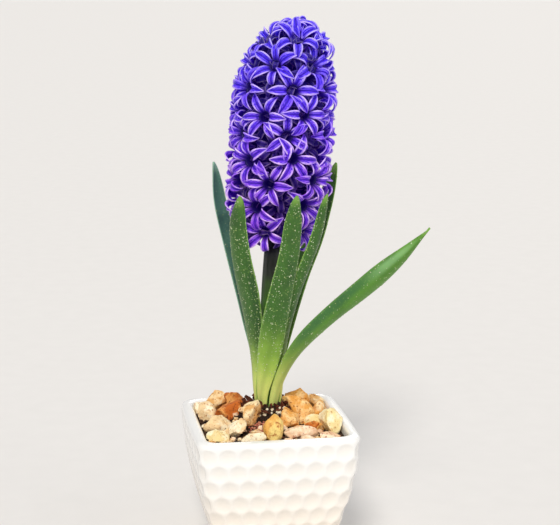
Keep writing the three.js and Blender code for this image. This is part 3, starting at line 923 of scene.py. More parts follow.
def point_on(line, gone, along):
    """The point that lies at a share of an even line's length."""
    k = next((i for i, g in enumerate(gone) if g > along), len(gone) - 1)
    share = (along - gone[k - 1]) / (gone[k] - gone[k - 1])
    return line[k - 1].lerp(line[k], share)


print("half way up, a leaf 16 mm wide is this wide in mm:", round(leaf_span(0.5, 16, False) / MM, 1))

# %% Turn with the midrib
MIDRIB_STEP = 0.004  # how far ahead and behind the run of the midrib is measured


def across_the_midrib(line, gone, along, roll):
    """The middle of a row of points, and its directions: sideways, and in towards the stalk."""
    middle = point_on(line, gone, along)
    ahead = point_on(line, gone, min(1, along + MIDRIB_STEP))
    behind = point_on(line, gone, max(0, along - MIDRIB_STEP))
    run = (ahead - behind).normalized() if along > 0.001 else UP
    inward = stalk_line(middle.z) - middle
    inward = (inward - run * inward.dot(run)).normalized()
    turned = math.radians(roll) * smoothstep(along, 0.15, 0.8)
    inward = Matrix.Rotation(turned, 3, run) @ inward
    return middle, run.cross(inward), inward


print("how far each leaf turns, in degrees:", [roll for _, _, _, roll, _ in LEAVES])

# %% Lay the leaves
def make_leaf(name, base, width, roll, midrib):
    foot = NECK + towards(base) * LEAF_RING * MM
    through = [foot + UP * (BULB_TOP + CLEARANCE) * MM, foot + UP * (COLLAR_TOP + 1) * MM]
    line, gone = even_line(through + [Vector(point) * MM for point in midrib])
    fresh()
    bpy.ops.mesh.primitive_grid_add(x_subdivisions=LEAF_ROWS, y_subdivisions=LEAF_COLUMNS, size=2)
    leaf = named(name + "_fine")
    group = leaf.vertex_groups.new(name="thickness")
    rows, alongs, acrosses = {}, [], []
    for vertex in leaf.data.vertices:
        row, across = round(vertex.co.x, 4), vertex.co.y
        # The rows stand closer together at the foot and at the tip, which bend more.
        along = (1 - math.cos(math.pi * (row + 1) / 2)) / 2
        if row not in rows:
            rows[row] = across_the_midrib(line, gone, along, roll)
        middle, sideways, inward = rows[row]
        cup = mix(LEAF_BASE_WIDTH / LEAF_RING, LEAF_CUP, smoothstep(along, 0, 0.5))
        cup += TIP_CUP * smoothstep(along, 0.86, 1)
        bend = leaf_span(along, width, name == POINTED_LEAF) / cup
        angle = across * cup / 2
        vertex.co = middle + sideways * bend * math.sin(angle) + inward * bend * (1 - math.cos(angle))
        full = LEAF_THICKNESS * mix(1, LEAF_THINNING, along)
        group.add([vertex.index], mix(full, LEAF_EDGE, across * across) / LEAF_THICKNESS, "REPLACE")
        alongs.append(along)
        acrosses.append(across)
    keep_values(leaf, "along", alongs)
    keep_values(leaf, "across", acrosses)
    apply_modifier(leaf, "SOLIDIFY", thickness=LEAF_THICKNESS * MM, offset=0, vertex_group="thickness")
    apply_modifier(leaf, "SUBSURF", levels=1, render_levels=1)
    leaf.vertex_groups.clear()
    smooth(leaf)
    return leaf


leaves = {name: make_leaf(name, *shape) for name, *shape in LEAVES}
print("leaf faces:", {name: len(leaf.data.polygons) for name, leaf in leaves.items()})

# %% [markdown]
# ## Leaf finish
#
# The leaves are pale lime where they leave the bulb and turn mid green higher up, with fine veins
# that run side by side to the tip. The tip and the thin edges are lighter, because light comes
# through them. Painted shade darkens the hollow along the middle and, on some leaves, one side of
# the midrib, and one leaf gets a painted sheen near its tip. One function makes the finish, and the
# leaves that stand in the shade at the back get bluer greens from the same function, as painted shade.

# %% Make the leaf finish
def leaf_finish(name, foot, low, high, deep, light, shaded_side=0, shade=None, rim=0.75, sheen=0):
    """Pale at the foot, greener higher up, with veins, blotches, freckles and light edges, painted shade in
    the hollow and a painted sheen.

    shaded_side is the sign of across on the side that is painted with a fold's shade, or 0.
    """
    material, tree, shader = new_material(
        name, Coat_Weight=0.08, Coat_Roughness=0.3, Specular_IOR_Level=0.4,
        Subsurface_Weight=0.06, Subsurface_Scale=1 * MM,
    )
    along, across, place = painted(tree, "along"), painted(tree, "across"), own_place(tree)
    from_middle = maths(tree, "ABSOLUTE", across)
    patchy, fine = noise(tree, place, 60.0, 4.0), noise(tree, place, 900.0, 3.0)
    veins = fibres(tree, across, along, 13.0, 0.08)

    rising = plus(tree, along, times(tree, maths(tree, "SUBTRACT", patchy, 0.5), 0.14))
    tones = blend(tree, ease(tree, rising, 0.1, 0.32), foot, low)
    tones = blend(tree, ease(tree, rising, 0.18, 0.48), tones, high)
    darker = blend(tree, 0.75, tones, deep)
    blotches = times(tree, ease(tree, patchy, 0.46, 0.72), ease(tree, along, 0.25, 0.55))
    tones = blend(tree, blotches, tones, darker)
    tones = over(tree, tones, darker, veins, 0.4)
    # Painted shade on one side of the midrib, where a fold would keep the leaf from the light.
    if shaded_side:
        side = ease(tree, times(tree, across, float(shaded_side)), 0.1, 0.6)
        tones = over(tree, tones, shade, times(tree, side, band(tree, along, 0.2, 0.4, 0.6, 0.9)), 0.7)
    # A painted sheen near the tip, on one half of the leaf.
    shining = times(tree, band(tree, along, 0.66, 0.8, 0.86, 0.96), band(tree, across, 0.0, 0.4, 0.6, 0.95))
    tones = over(tree, tones, "#a4d894", shining, float(sheen))
    tones = over(tree, tones, light, ease(tree, fine, 0.56, 0.7), 0.2)
    # Painted shade in the hollow along the middle of the leaf.
    tones = over(tree, tones, darker, rest_of(tree, ease(tree, from_middle, 0.0, 0.5)), 0.3)
    edge = times(tree, ease(tree, from_middle, 0.84, 1.0), rim)
    tip = times(tree, ease(tree, along, 0.94, 1.0), 0.75)
    tones = blend(tree, maths(tree, "MAXIMUM", edge, tip), tones, light)

    bloom = plus(tree, times(tree, noise(tree, place, 400.0, 2.0), 0.3), 0.32)
    grain = plus(tree, veins, times(tree, fine, 0.6))
    feed(tree, shader, tones, roughness=bloom, height=grain, depth=0.16 * MM, strength=0.5)
    return material


print("finishes with fibres before the leaves:", FIBRES.users)

# %% Choose the greens
# Tones at the foot, low down and high up, in the blotches, and where light comes through.
GREENS = ("#eef88c", "#aad24a", "#3d6e20", "#234a16", "#8fc052")
OUTER_GREENS = ("#dde884", "#8cac3c", "#5a9226", "#3a6a1e", "#8fc052")
SHADED_GREENS = ("#b4c97c", "#6c9a52", "#528069", "#2c5046", "#94bea2")
LEAF_GREEN = leaf_finish("leaf_green", *GREENS)
LEAF_FINISHES = {
    "leaf_back_left": leaf_finish("leaf_shaded", *SHADED_GREENS, shaded_side=1, shade="#1c3a36"),
    "leaf_front_left": leaf_finish("leaf_green_fold_shade", *GREENS, shaded_side=-1, shade="#1c4414"),
    "leaf_outer_right": leaf_finish(
        "leaf_green_outer", *OUTER_GREENS, shaded_side=1, shade="#245a34", rim=0.2, sheen=0.4,
    ),
}
print("nodes in a leaf finish:", len(LEAF_GREEN.node_tree.nodes))

# %% Dress the leaves
for name, leaf in leaves.items():
    dress(leaf, LEAF_FINISHES.get(name, LEAF_GREEN), [name])
print("finish of each leaf:", {name: leaf.data.materials[0].name for name, leaf in leaves.items()})

# %% [markdown]
# ## Dew
#
# The plant has just been sprayed, and fine drops cling to the leaves. A speckle in the leaf's
# colour would look like drops from far away but lie flat when seen close. Real little domes catch
# the lamps, so one low drop is modelled and copied to faces of each leaf, drawn at random but
# seeded. The drops of one leaf are joined into one piece.

# %% Make one drop and its finish
DROP_SIDES, DROP_RINGS = 6, 4
DROP_HEIGHT = 0.62  # as a share of its width


def dew_finish():
    """Clear water, its colour pale green in patches: painted light for the green leaf seen through it."""
    material, tree, shader = new_material(
        "dew", Roughness=0.06, IOR=1.33, Transmission_Weight=0.3, Specular_IOR_Level=0.9,
    )
    # The green tint is painted light: the leaf seen through the drop.
    soft_patches = ease(tree, noise(tree, own_place(tree), 500.0, 1.0), 0.35, 0.65)
    feed(tree, shader, blend(tree, soft_patches, "#a6c268", "#e8f2cc"))
    return material


def make_drop():
    fresh()
    bpy.ops.mesh.primitive_uv_sphere_add(segments=DROP_SIDES, ring_count=DROP_RINGS, radius=1)
    drop = named("drop")
    drop.data.transform(Matrix.Diagonal((1, 1, DROP_HEIGHT, 1)))
    smooth(drop)
    return drop


DEW = dew_finish()
drop_model = make_drop()
print("faces of a drop:", len(drop_model.data.polygons))

# %% Scatter drops on the leaves
DROPS_ON_A_LEAF = 1150
DROP_SIZES = (0.15, 0.42)
DEW_FROM, DEW_TO = 0.2, 0.985  # how far along a leaf the drops lie
# Drops gather at the thin edges, which are this far across, this many times as often.
EDGE_ACROSS, EDGE_SHARE = 0.8, 3
# How wet each leaf is, as a share of the wettest one.
WETTED = {"leaf_front": 1.0, "leaf_front_left": 1.0, "leaf_right": 0.9, "leaf_outer_right": 0.3,
          "leaf_back_right": 0.3, "leaf_back_left": 0.15}


def scatter_drops(leaf, count, draw):
    """Copies the drop to random places on a leaf, standing on its faces."""
    alongs, acrosses = (leaf.data.attributes[name].data for name in ("along", "across"))
    faces = [f for f in leaf.data.polygons if DEW_FROM < alongs[f.vertices[0]].value < DEW_TO]
    weights = []
    for face in faces:
        at_edge = abs(acrosses[face.vertices[0]].value) > EDGE_ACROSS
        weights.append(face.area * (EDGE_SHARE if at_edge else 1))
    drops = []
    for face in draw.choices(faces, weights=weights, k=count):
        a, b, c, d = (leaf.data.vertices[index].co for index in face.vertices)
        forth, aside = draw.random(), draw.random()
        spot = a.lerp(b, forth).lerp(d.lerp(c, forth), aside)
        standing = face.normal.to_track_quat("Z", "Y").to_matrix().to_4x4()
        wide = mix(*DROP_SIZES, draw.random() ** 2) * MM
        drop = copied(drop_model)
        drop.data.transform(Matrix.Translation(spot) @ standing @ Matrix.Scale(wide, 4))
        drops.append(drop)
    return drops


for name, share in WETTED.items():
    drops = scatter_drops(leaves[name], int(DROPS_ON_A_LEAF * share), random.Random(name))
    dress(join(drops, "dew_" + name), DEW)
put_away([drop_model])
print("drops:", sum(int(DROPS_ON_A_LEAF * share) for share in WETTED.values()))

# %% [markdown]
# ## Pot
#
# The pot is one square ceramic shell, tapered to the foot, with a rolled rim and rows of shallow
# thumb-like dimples. Its blank is a plane whose corners are rounded by a vertex bevel, extruded
# upwards ring by ring and then down again inside. A subdivision rounds it and gives it enough
# faces. The dimples could be inset faces, but they have to be staggered and even round the
# corners, so they are pressed in by a formula: each point of the wall goes in by how close it is
# to the nearest dimple's middle.

# %% List the pot's rings
POT_HEIGHT = 78
RIM_HALF = 45
FOOT_HALF = 27
FOOT_ROUNDING = 0.8
TAPER_POWER = 1.9
WALL = 6
WALL_TOP = 73
POT_FLOOR = 6
WALL_RINGS = 21
# The rolled rim: height, and what is added to half the rim's outer or inner width.
OUTER_RIM = [(74.4, 0), (76.4, 0), (POT_HEIGHT, -1.4)]
INNER_RIM = [(POT_HEIGHT, 1.2), (76.6, 0), (72, -0.3)]
INSIDE_HEIGHTS = (40, 10, POT_FLOOR)


def pot_half(z):
    """Half the pot's outer width: nearly upright under the rim, then tapering."""
    return RIM_HALF - (RIM_HALF - FOOT_HALF) * ((POT_HEIGHT - z) / POT_HEIGHT) ** TAPER_POWER


def pot_rings():
    """Heights and half widths, up the outside, over the rim and down the inside."""
    rings = [(0, FOOT_HALF - FOOT_ROUNDING)]
    for i in range(WALL_RINGS + 1):
        z = mix(FOOT_ROUNDING, WALL_TOP, i / WALL_RINGS)
        rings.append((z, pot_half(z)))
    rings += [(z, RIM_HALF + more) for z, more in OUTER_RIM]
    rings += [(z, RIM_HALF - WALL + more) for z, more in INNER_RIM]
    rings += [(z, pot_half(z) - WALL) for z in INSIDE_HEIGHTS]
    rings.append((POT_FLOOR, pot_half(POT_FLOOR) - 2 * WALL))
    return rings


print("rings of the pot:", len(pot_rings()))

# %% Turn up the pot's blank
CORNER_SHARE = 0.17
CORNER_SEGMENTS = 4
SIDE_SEGMENTS = 20


def turn_up_blank():
    """A plane with rounded corners and divided sides, extruded ring by ring."""
    rings = pot_rings()
    start = rings[0][1]
    fresh()
    bpy.ops.mesh.primitive_plane_add(size=2 * start * MM)
    pot = named("pot_fine")
    bpy.ops.object.mode_set(mode="EDIT")
    bpy.ops.mesh.select_all(action="SELECT")
    bpy.ops.mesh.bevel(offset=start * CORNER_SHARE * MM, segments=CORNER_SEGMENTS, affect="VERTICES")
    bpy.ops.mesh.select_mode(type="EDGE")
    bpy.ops.mesh.select_all(action="DESELECT")
    bpy.ops.object.mode_set(mode="OBJECT")
    for edge in pot.data.edges:
        a, b = (pot.data.vertices[i].co for i in edge.vertices)
        edge.select = (a - b).length > start * MM
    bpy.ops.object.mode_set(mode="EDIT")
    bpy.ops.mesh.subdivide(number_cuts=SIDE_SEGMENTS - 1)
    bpy.ops.mesh.select_mode(type="FACE")
    bpy.ops.mesh.select_all(action="SELECT")
    extrude_rings(rings, upright)
    apply_modifier(pot, "SUBSURF", levels=2, render_levels=2)
    return pot


pot = turn_up_blank()
print("faces in the blank:", len(pot.data.polygons))

# %% Lay out the dimples
DIMPLES_AROUND = 32
DIMPLE_PITCH = 9.4
TOP_ROW = 70
DIMPLE_ROWS = 7
DIMPLE_SHIFT = 0.27  # of a dimple's width, to where the first ones lie on the best side
DIMPLE_DEPTH = 1.2
DIMPLE_TALL = 0.56  # half a dimple's height, as a share of the pitch between rows


def dimple_share(column, z):
    """1 in the middle of a dimple and 0 between dimples."""
    depth = 0.0
    for row in range(DIMPLE_ROWS):
        up = (z - (TOP_ROW - row * DIMPLE_PITCH)) / (DIMPLE_TALL * DIMPLE_PITCH)
        if abs(up) <= 1:
            offset = 0.5 * (row % 2)
            sideways = (column - offset - round(column - offset)) / 0.5
            depth = max(depth, 1 - up * up - sideways * sideways)
    return depth * smoothstep(depth, -0.05, 0.3)


print("rows of dimples:", DIMPLE_ROWS, "with", DIMPLES_AROUND, "in each")

# %% Press them into the walls
SIDE_BOW = 1


def press(point):
    """How far a point of the blank moves, and how deep in a dimple it lies."""
    x, y, z = (c / MM for c in point)
    half = pot_half(min(POT_HEIGHT, max(0, z)))
    outside = max(abs(x), abs(y)) > half - WALL / 2 or z < FOOT_ROUNDING
    if not outside or z > TOP_ROW + DIMPLE_PITCH:
        return Vector(), 0.0
    quarter = 0
    while not (x > abs(y) or (x >= y and x > 0 and y > 0)) and quarter < 3:
        x, y = y, -x
        quarter += 1
    corner = half * CORNER_SHARE
    straight = half - corner
    side = 2 * straight + corner * math.pi / 2
    turn = math.atan2(y - straight, x - straight) if y > straight else 0
    gone = 2 * straight + corner * turn if y > straight else y + straight
    depth = dimple_share((quarter + gone / side) * DIMPLES_AROUND / 4 + DIMPLE_SHIFT, z)
    bow = SIDE_BOW * half / RIM_HALF * max(0, 1 - (y / half) ** 2)
    push = bow * smoothstep(z, 0, 6) - DIMPLE_DEPTH * depth
    outwards = Vector((math.cos(turn), math.sin(turn), 0))
    outwards.rotate(Matrix.Rotation(math.radians(90 * quarter), 3, "Z"))
    return outwards * push * MM, depth


depths = []
for vertex in pot.data.vertices:
    move, depth = press(vertex.co)
    vertex.co += move
    depths.append(depth)
keep_values(pot, "hollow", depths)
smooth(pot)
print("points in dimples:", sum(depth > 0 for depth in depths), "of", len(depths))

# %% Glaze the pot
def glaze_finish():
    """White glaze, creamier low down and in the hollows, where glaze pools and painted shade darkens it,
    with small waves and specks.
    """
    material, tree, shader = new_material(
        "pot_glaze", Coat_Weight=0.4, Coat_Roughness=0.08, Specular_IOR_Level=0.55,
    )
    place = own_place(tree)
    soft_patches = noise(tree, place, 25.0, 4.0)
    low_down = rest_of(tree, ease(tree, own_height(tree), 10 * MM, 72 * MM))
    specks = ease(tree, noise(tree, place, 1400.0, 1.0), 0.74, 0.8)
    tones = blend(tree, soft_patches, "#f8f7f4", "#f1eee9")
    tones = over(tree, tones, "#f7ead9", low_down, 0.8)
    # The hollows get glaze that pools there and painted shade.
    tones = over(tree, tones, "#efe4d4", painted(tree, "hollow"), 0.3)
    tones = over(tree, tones, "#c9b69b", specks, 0.4)
    waves = noise(tree, place, 130.0, 2.0)
    dulled = plus(tree, times(tree, soft_patches, 0.16), 0.16)
    feed(tree, shader, tones, roughness=dulled, height=waves, depth=0.25 * MM, strength=0.35)
    return material


dress(pot, glaze_finish(), ["pot"])
print("the pot's finish:", pot.data.materials[0].name)

# %% [markdown]
# ## Soil
#
# The soil is dark bark compost: crumbs of all sizes with thin flakes standing among them. The
# plain soil solid already has the right heap and keeps its place, with a rough dark finish. On top
# of it lie real crumbs. They could come from a particle system, but separate copies, drawn with a
# seed and joined, stay ordinary mesh that anyone can edit.

# %% Pick random spots on the soil
MOUND = 15
MOUND_SPREAD = 17


def from_neck(x, y):
    return math.hypot(x - NECK.x / MM, y - NECK.y / MM)


def soil_height(x, y):
    """Level along the walls and heaped up round the neck, in millimetres."""
    return SOIL_LEVEL / MM + MOUND * math.exp(-(from_neck(x, y) / MOUND_SPREAD) ** 2)


def on_the_soil(draw, x, y, rise):
    """A point over a level place, which is raised by a random number of millimetres."""
    return Vector((x, y, soil_height(x, y) + draw.uniform(*rise))) * MM


def within(across, forth, rise):
    """Draws points whose x and y are within bounds."""
    return lambda draw: on_the_soil(draw, draw.uniform(*across), draw.uniform(*forth), rise)


def round_the_neck(angles, outs, rise):
    """Draws points round the neck, in these directions and this far out."""
    def spot(draw):
        out = towards(draw.uniform(*angles)) * draw.uniform(*outs)
        return on_the_soil(draw, NECK.x / MM + out.x, NECK.y / MM + out.y, rise)

    return spot


print("the heap's top in mm:", soil_height(NECK.x / MM, NECK.y / MM))

# %% Make small lumps and strew them
ANY_TURN = (0, 6.3)  # radians, just over a full turn
TIPPING = (-0.6, 0.6)


def grit_finish(name, scale, main, light, dark, rough=0.95, depth=0.4):
    """A mineral or bark finish in three tones with a broken surface."""
    material, tree, shader = new_material(name, Roughness=rough, Specular_IOR_Level=0.3)
    tones, height = mottle(tree, scale, main, light, dark)
    feed(tree, shader, tones, height=height, depth=depth * MM, strength=0.8)
    return material


def make_crumb(name, subdivisions, seed, uneven):
    """A rounded lump whose points are pushed in and out at random."""
    fresh()
    bpy.ops.mesh.primitive_ico_sphere_add(subdivisions=subdivisions, radius=0.5)
    crumb = named(name)
    draw = random.Random(seed)
    for vertex in crumb.data.vertices:
        vertex.co *= 1 + draw.uniform(-uneven, uneven)
    return crumb


def strew(models, count, draw, spot, size, flat=(0.6, 1.0)):
    """Copies of small models where spot() says, each turned and sized at random."""
    copies = []
    for _ in range(count):
        copy = copied(draw.choice(models))
        wide = draw.uniform(*size) * MM
        shape = Matrix.Diagonal((1, draw.uniform(0.6, 1), draw.uniform(*flat), 1))
        spin = Matrix.Rotation(draw.uniform(*ANY_TURN), 4, "Z")
        tip = Matrix.Rotation(draw.uniform(*TIPPING), 4, "X")
        copy.data.transform(Matrix.Translation(spot(draw)) @ spin @ tip @ shape @ Matrix.Scale(wide, 4))
        copies.append(copy)
    return copies


SOIL_DARK = grit_finish("soil_dark", 260.0, "#2b1c14", "#4a3222", "#120b08")
print("the soil's finish:", SOIL_DARK.name)

# %% Crumble the soil
CRUMBS, NECK_CRUMBS = 1500, 420
CRUMB_MODELS, CRUMB_MODEL_SEED, CRUMB_UNEVEN = 4, 30, 0.22
CRUMB_SIDES = (-38.2, 38.2)
CRUMB_SEED = 77
NEAR_THE_NECK = round_the_neck((0, 360), (8.2, 17), (0, 1.4))
crumb_models = [
    make_crumb(f"crumb_{i}", 1 + i % 2, CRUMB_MODEL_SEED + i, CRUMB_UNEVEN) for i in range(CRUMB_MODELS)
]
draw = random.Random(CRUMB_SEED)
crumbs = strew(crumb_models, CRUMBS, draw, within(CRUMB_SIDES, CRUMB_SIDES, (-0.2, 0.9)), (0.9, 2.8))
crumbs += strew(crumb_models, NECK_CRUMBS, draw, NEAR_THE_NECK, (0.8, 2.6))
put_away(crumb_models)
print("crumbs:", len(crumbs))

# %% Dress the soil
soil_crumbs = dress(join(crumbs, "soil_crumbs"), SOIL_DARK)
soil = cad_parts["soil"]
soil.data.materials.clear()
soil.data.materials.append(SOIL_DARK)
print("faces in the crumbs:", len(soil_crumbs.data.polygons))

# %% [markdown]
# ## Stones
#
# Chipped stones in warm colours cover the soil. Each could be sculpted, but a chip is a flat break,
# so a ball is cut by a few planes, its arrises are bevelled, and a voxel remesh with a cloud
# displacement makes the broken faces rough. Every stone keeps its own place, size and turn, and
# stands for its plain solid. A stone with few cuts stays round like a pebble.

# %% List the stones
# Place, length, width and height in millimetres, turn in degrees, rock, number of cuts.
STONES = [
    (-15.5, 22, 12.5, 12, 14, 20, "amber", 11), (-25.5, 29.5, 11.5, 9, 14, -10, "tan", 10),
    (-33.3, 14.5, 10, 12, 12, 12, "cream", 9), (-21.5, 7, 15, 9.5, 12, -12, "amber", 12),
    (-29.8, -5.5, 15.5, 11, 10, 18, "cream", 11), (-32, -24, 12, 12, 8, -8, "straw", 8),
    (-21, -19, 9.5, 11, 11, 35, "cream", 10), (-11.6, -10.5, 9, 13, 14, -24, "tan", 10),
    (-13.5, -30, 12.5, 10, 8, 5, "cream", 8), (-1.5, -27, 10, 13, 15, 4, "ochre", 3),
    (17.2, -1.5, 17, 11, 13, -10, "honey", 13), (9.8, -14.5, 12, 10, 11.5, 14, "honey", 10),
    (20, 16.5, 14, 12, 15, -12, "honey", 12), (32.7, 13.5, 9, 11, 11, 25, "tan", 9),
    (24.3, -10.5, 10.5, 7, 8.5, -10, "straw", 7), (13.5, -26, 18.5, 8, 8.5, -7, "rose", 12),
    (32.6, -18, 12, 17, 16, -8, "straw", 11), (21.5, -18, 9, 6, 7.5, 10, "amber", 8),
    (29.5, -32.5, 11, 7, 6.5, 14, "rose", 8), (34, 31, 8.5, 9, 9, -30, "tan", 9),
    (3, 30.5, 13, 10, 10, 8, "tan", 10), (-11, 33.5, 9, 8, 8, -14, "cream", 9),
    (-35, 28.5, 6.5, 8.5, 8, 10, "cream", 8), (17.5, -34.5, 9, 6, 6, -8, "rose", 8),
    (36, 22.5, 5.5, 6, 6, 0, "rose", 7), (9.5, 17.5, 5.5, 6, 8, 0, "amber", 8),
]
print("stones to chip:", len(STONES))

# %% Mix the rocks
# Main, light and dark tone, and how dull the rock is.
ROCK_TONES = {
    "amber": ("#c2651f", "#eda85c", "#70300f", 0.75),
    "honey": ("#e09c46", "#f8cf90", "#94501c", 0.75),
    "tan": ("#e0aa66", "#fbe2b2", "#9c5a2c", 0.8),
    "cream": ("#f2d2a0", "#fff2d2", "#b87a4a", 0.8),
    "straw": ("#f4dc9c", "#fff5d0", "#c8985a", 0.8),
    "rose": ("#eec49c", "#fdeacc", "#b0583c", 0.8),
}
ROCKS = {rock: grit_finish("rock_" + rock, 150.0, *tones, 0.35) for rock, tones in ROCK_TONES.items()}
# The rounded pebble is smoother and broader in its mottling than the chipped rocks.
ROCKS["ochre"] = grit_finish("rock_ochre", 110.0, "#e8ae58", "#f8dc88", "#b8743a", 0.6, 0.15)
print("rocks:", list(ROCKS))

# %% Cut a ball
CUT_RANGE = (0.24, 0.4)  # how far from the middle a break may lie, in a ball one across


def cut_ball(name, finer, cuts, seed):
    """A ball, one across each way, with random flat breaks."""
    draw = random.Random(seed)
    fresh()
    bpy.ops.mesh.primitive_ico_sphere_add(subdivisions=finer, radius=0.5)
    ball = named(name)
    bpy.ops.object.mode_set(mode="EDIT")
    for _ in range(cuts):
        facing = Vector([draw.gauss(0, 1) for _ in range(3)]).normalized()
        bpy.ops.mesh.select_all(action="SELECT")
        bpy.ops.mesh.bisect(
            plane_co=facing * draw.uniform(*CUT_RANGE), plane_no=facing, use_fill=True, clear_outer=True
        )
    bpy.ops.object.mode_set(mode="OBJECT")
    points = [vertex.co for vertex in ball.data.vertices]
    for axis in range(3):
        lowest = min(point[axis] for point in points)
        highest = max(point[axis] for point in points)
        for point in points:
            point[axis] = (point[axis] - lowest) / (highest - lowest) - 0.5
    return ball


print("where a break may lie, as a share of the radius:", [2 * cut for cut in CUT_RANGE])

# %% Chip the stones
STONE_SUNK = 1.8
STONE_SEED = 500
CHIP_BEVEL = 0.25 * MM
STONE_VOXEL = 0.36 * MM
SWELL = 1.1  # the rough skin stands a little proud of the plain solid
# Names of the clouds that roughen a stone, their size and strength in millimetres.
ROUGHENING = [("stone_swells", 4, 1.1), ("stone_grit", 0.9, 0.35)]


def make_clouds(name, size):
    clouds = bpy.data.textures.new(name, "CLOUDS")
    clouds.noise_scale = size * MM
    clouds.noise_depth = 3
    return clouds


CLOUDS = [(make_clouds(name, size), strength) for name, size, strength in ROUGHENING]


def chip_stone(name, length, width, height, cuts, seed):
    """A cut ball of the stone's size with worn arrises and a rough surface."""
    stone = cut_ball(name, 4, cuts, seed)
    stone.data.transform(Matrix.Diagonal((length, width, height, 1)) @ Matrix.Scale(SWELL * MM, 4))
    apply_modifier(stone, "BEVEL", width=CHIP_BEVEL, segments=2, limit_method="ANGLE")
    apply_modifier(stone, "REMESH", mode="VOXEL", voxel_size=STONE_VOXEL)
    for clouds, strength in CLOUDS:
        apply_modifier(
            stone, "DISPLACE", texture=clouds, texture_coords="LOCAL", strength=strength * MM, mid_level=0.5
        )
    smooth(stone)
    return stone


for number, (x, y, length, width, height, turn, rock, cuts) in enumerate(STONES, start=1):
    solid = f"stone_{number:02d}"
    stone = chip_stone(solid + "_fine", length, width, height, cuts, STONE_SEED + number)
    middle = Vector((x, y, soil_height(x, y) + height / 2 - STONE_SUNK)) * MM
    stone.data.transform(Matrix.Translation(middle) @ Matrix.Rotation(math.radians(turn), 4, "Z"))
    dress(stone, ROCKS[rock], [solid])
print("stones:", len(STONES), "faces in the last one:", len(stone.data.polygons))

# %% Fill the gaps between the stones with chips
CHIPS = 38
CHIP_MODELS, CHIP_MODEL_SEED, CHIP_CUTS = 4, 80, 7
CHIP_ARRIS = 0.03  # the bevel of a chip one across
CHIP_SIDES = (-36, 36)
CHIP_FREE = 13  # no chips this close to the neck, in millimetres
CHIP_RISE = (0.3, 1.5)
CHIP_FLATNESS = (0.5, 0.9)


def is_covered(x, y):
    """Whether a stone lies here."""
    return any(
        math.hypot(x - stone_x, y - stone_y) < min(length, width) / 2
        for stone_x, stone_y, length, width, *_ in STONES
    )


def uncovered(across, forth):
    """Draws points within bounds that no stone covers and that aren't close to the neck."""
    def spot(draw):
        while True:
            x, y = draw.uniform(*across), draw.uniform(*forth)
            if not is_covered(x, y) and from_neck(x, y) > CHIP_FREE:
                return on_the_soil(draw, x, y, CHIP_RISE)

    return spot


chip_models = [cut_ball(f"chip_{i}", 2, CHIP_CUTS, CHIP_MODEL_SEED + i) for i in range(CHIP_MODELS)]
for model in chip_models:
    apply_modifier(model, "BEVEL", width=CHIP_ARRIS, segments=1, limit_method="ANGLE")
ANYWHERE = uncovered(CHIP_SIDES, CHIP_SIDES)
AMONG_THE_HONEY_STONES = uncovered((8, 30), (-20, 24))
for rock, spot, sizes, slot in (
    ("rose", ANYWHERE, (2.6, 5.4), "stone_pale"),
    ("tan", ANYWHERE, (2.6, 5.4), "stone_warm"),
    ("cream", ANYWHERE, (2.6, 5.4), "stone_pale"),
    ("honey", AMONG_THE_HONEY_STONES, (4, 8), "stone_warm"),
):
    chips = strew(chip_models, CHIPS, random.Random("chips " + rock), spot, sizes, CHIP_FLATNESS)
    dress(join(chips, "chips_" + rock), ROCKS[rock])
put_away(chip_models)
print("chips of each rock:", CHIPS)

# %% [markdown]
# ## Small things on the soil
#
# Thin flakes of bark stand by the leaf bases, a strip of reddish gravel lies along the front wall,
# and a few pale grains show between the crumbs. They are too small for solids of their own, but
# they are what makes the soil look real from close by.

# %% Make a flake of bark
FLAKE_TAPER = 0.55
FLAKE_FLATNESS = 0.16
FLAKE_BEND = 0.12
FLAKE_ARRIS = 0.02
FLAKE_MODEL_SEED = 5


def make_flake():
    """A sliver of bark: a flat box, tapered at its ends, bent a little and bevelled."""
    fresh()
    bpy.ops.mesh.primitive_cube_add(size=1)
    flake = named("flake")
    bpy.ops.object.mode_set(mode="EDIT")
    bpy.ops.mesh.select_all(action="SELECT")
    bpy.ops.mesh.subdivide(number_cuts=2)
    bpy.ops.object.mode_set(mode="OBJECT")
    draw = random.Random(FLAKE_MODEL_SEED)
    for vertex in flake.data.vertices:
        x, y, z = vertex.co
        taper = 1 - FLAKE_TAPER * abs(z) * 2
        bent = y * FLAKE_FLATNESS + FLAKE_BEND * math.sin(z * 4)
        vertex.co = Vector((x * taper * draw.uniform(0.85, 1.15), bent, z))
    apply_modifier(flake, "BEVEL", width=FLAKE_ARRIS, segments=1, limit_method="ANGLE")
    return flake


flake_model = make_flake()
print("faces of a flake:", len(flake_model.data.polygons))

# %% Stand the flakes by the leaf bases
FLAKES = 64
FLAKE_OUT = (9.5, 16)
FLAKE_TALL = (4, 9)
FLAKE_WIDTH = 0.38  # as a share of its height
FLAKE_LIFT = 0.28  # of its middle above the soil, as a share of its height
MOST_LEAN = 0.9
SMALL_THINGS_SEED = 9


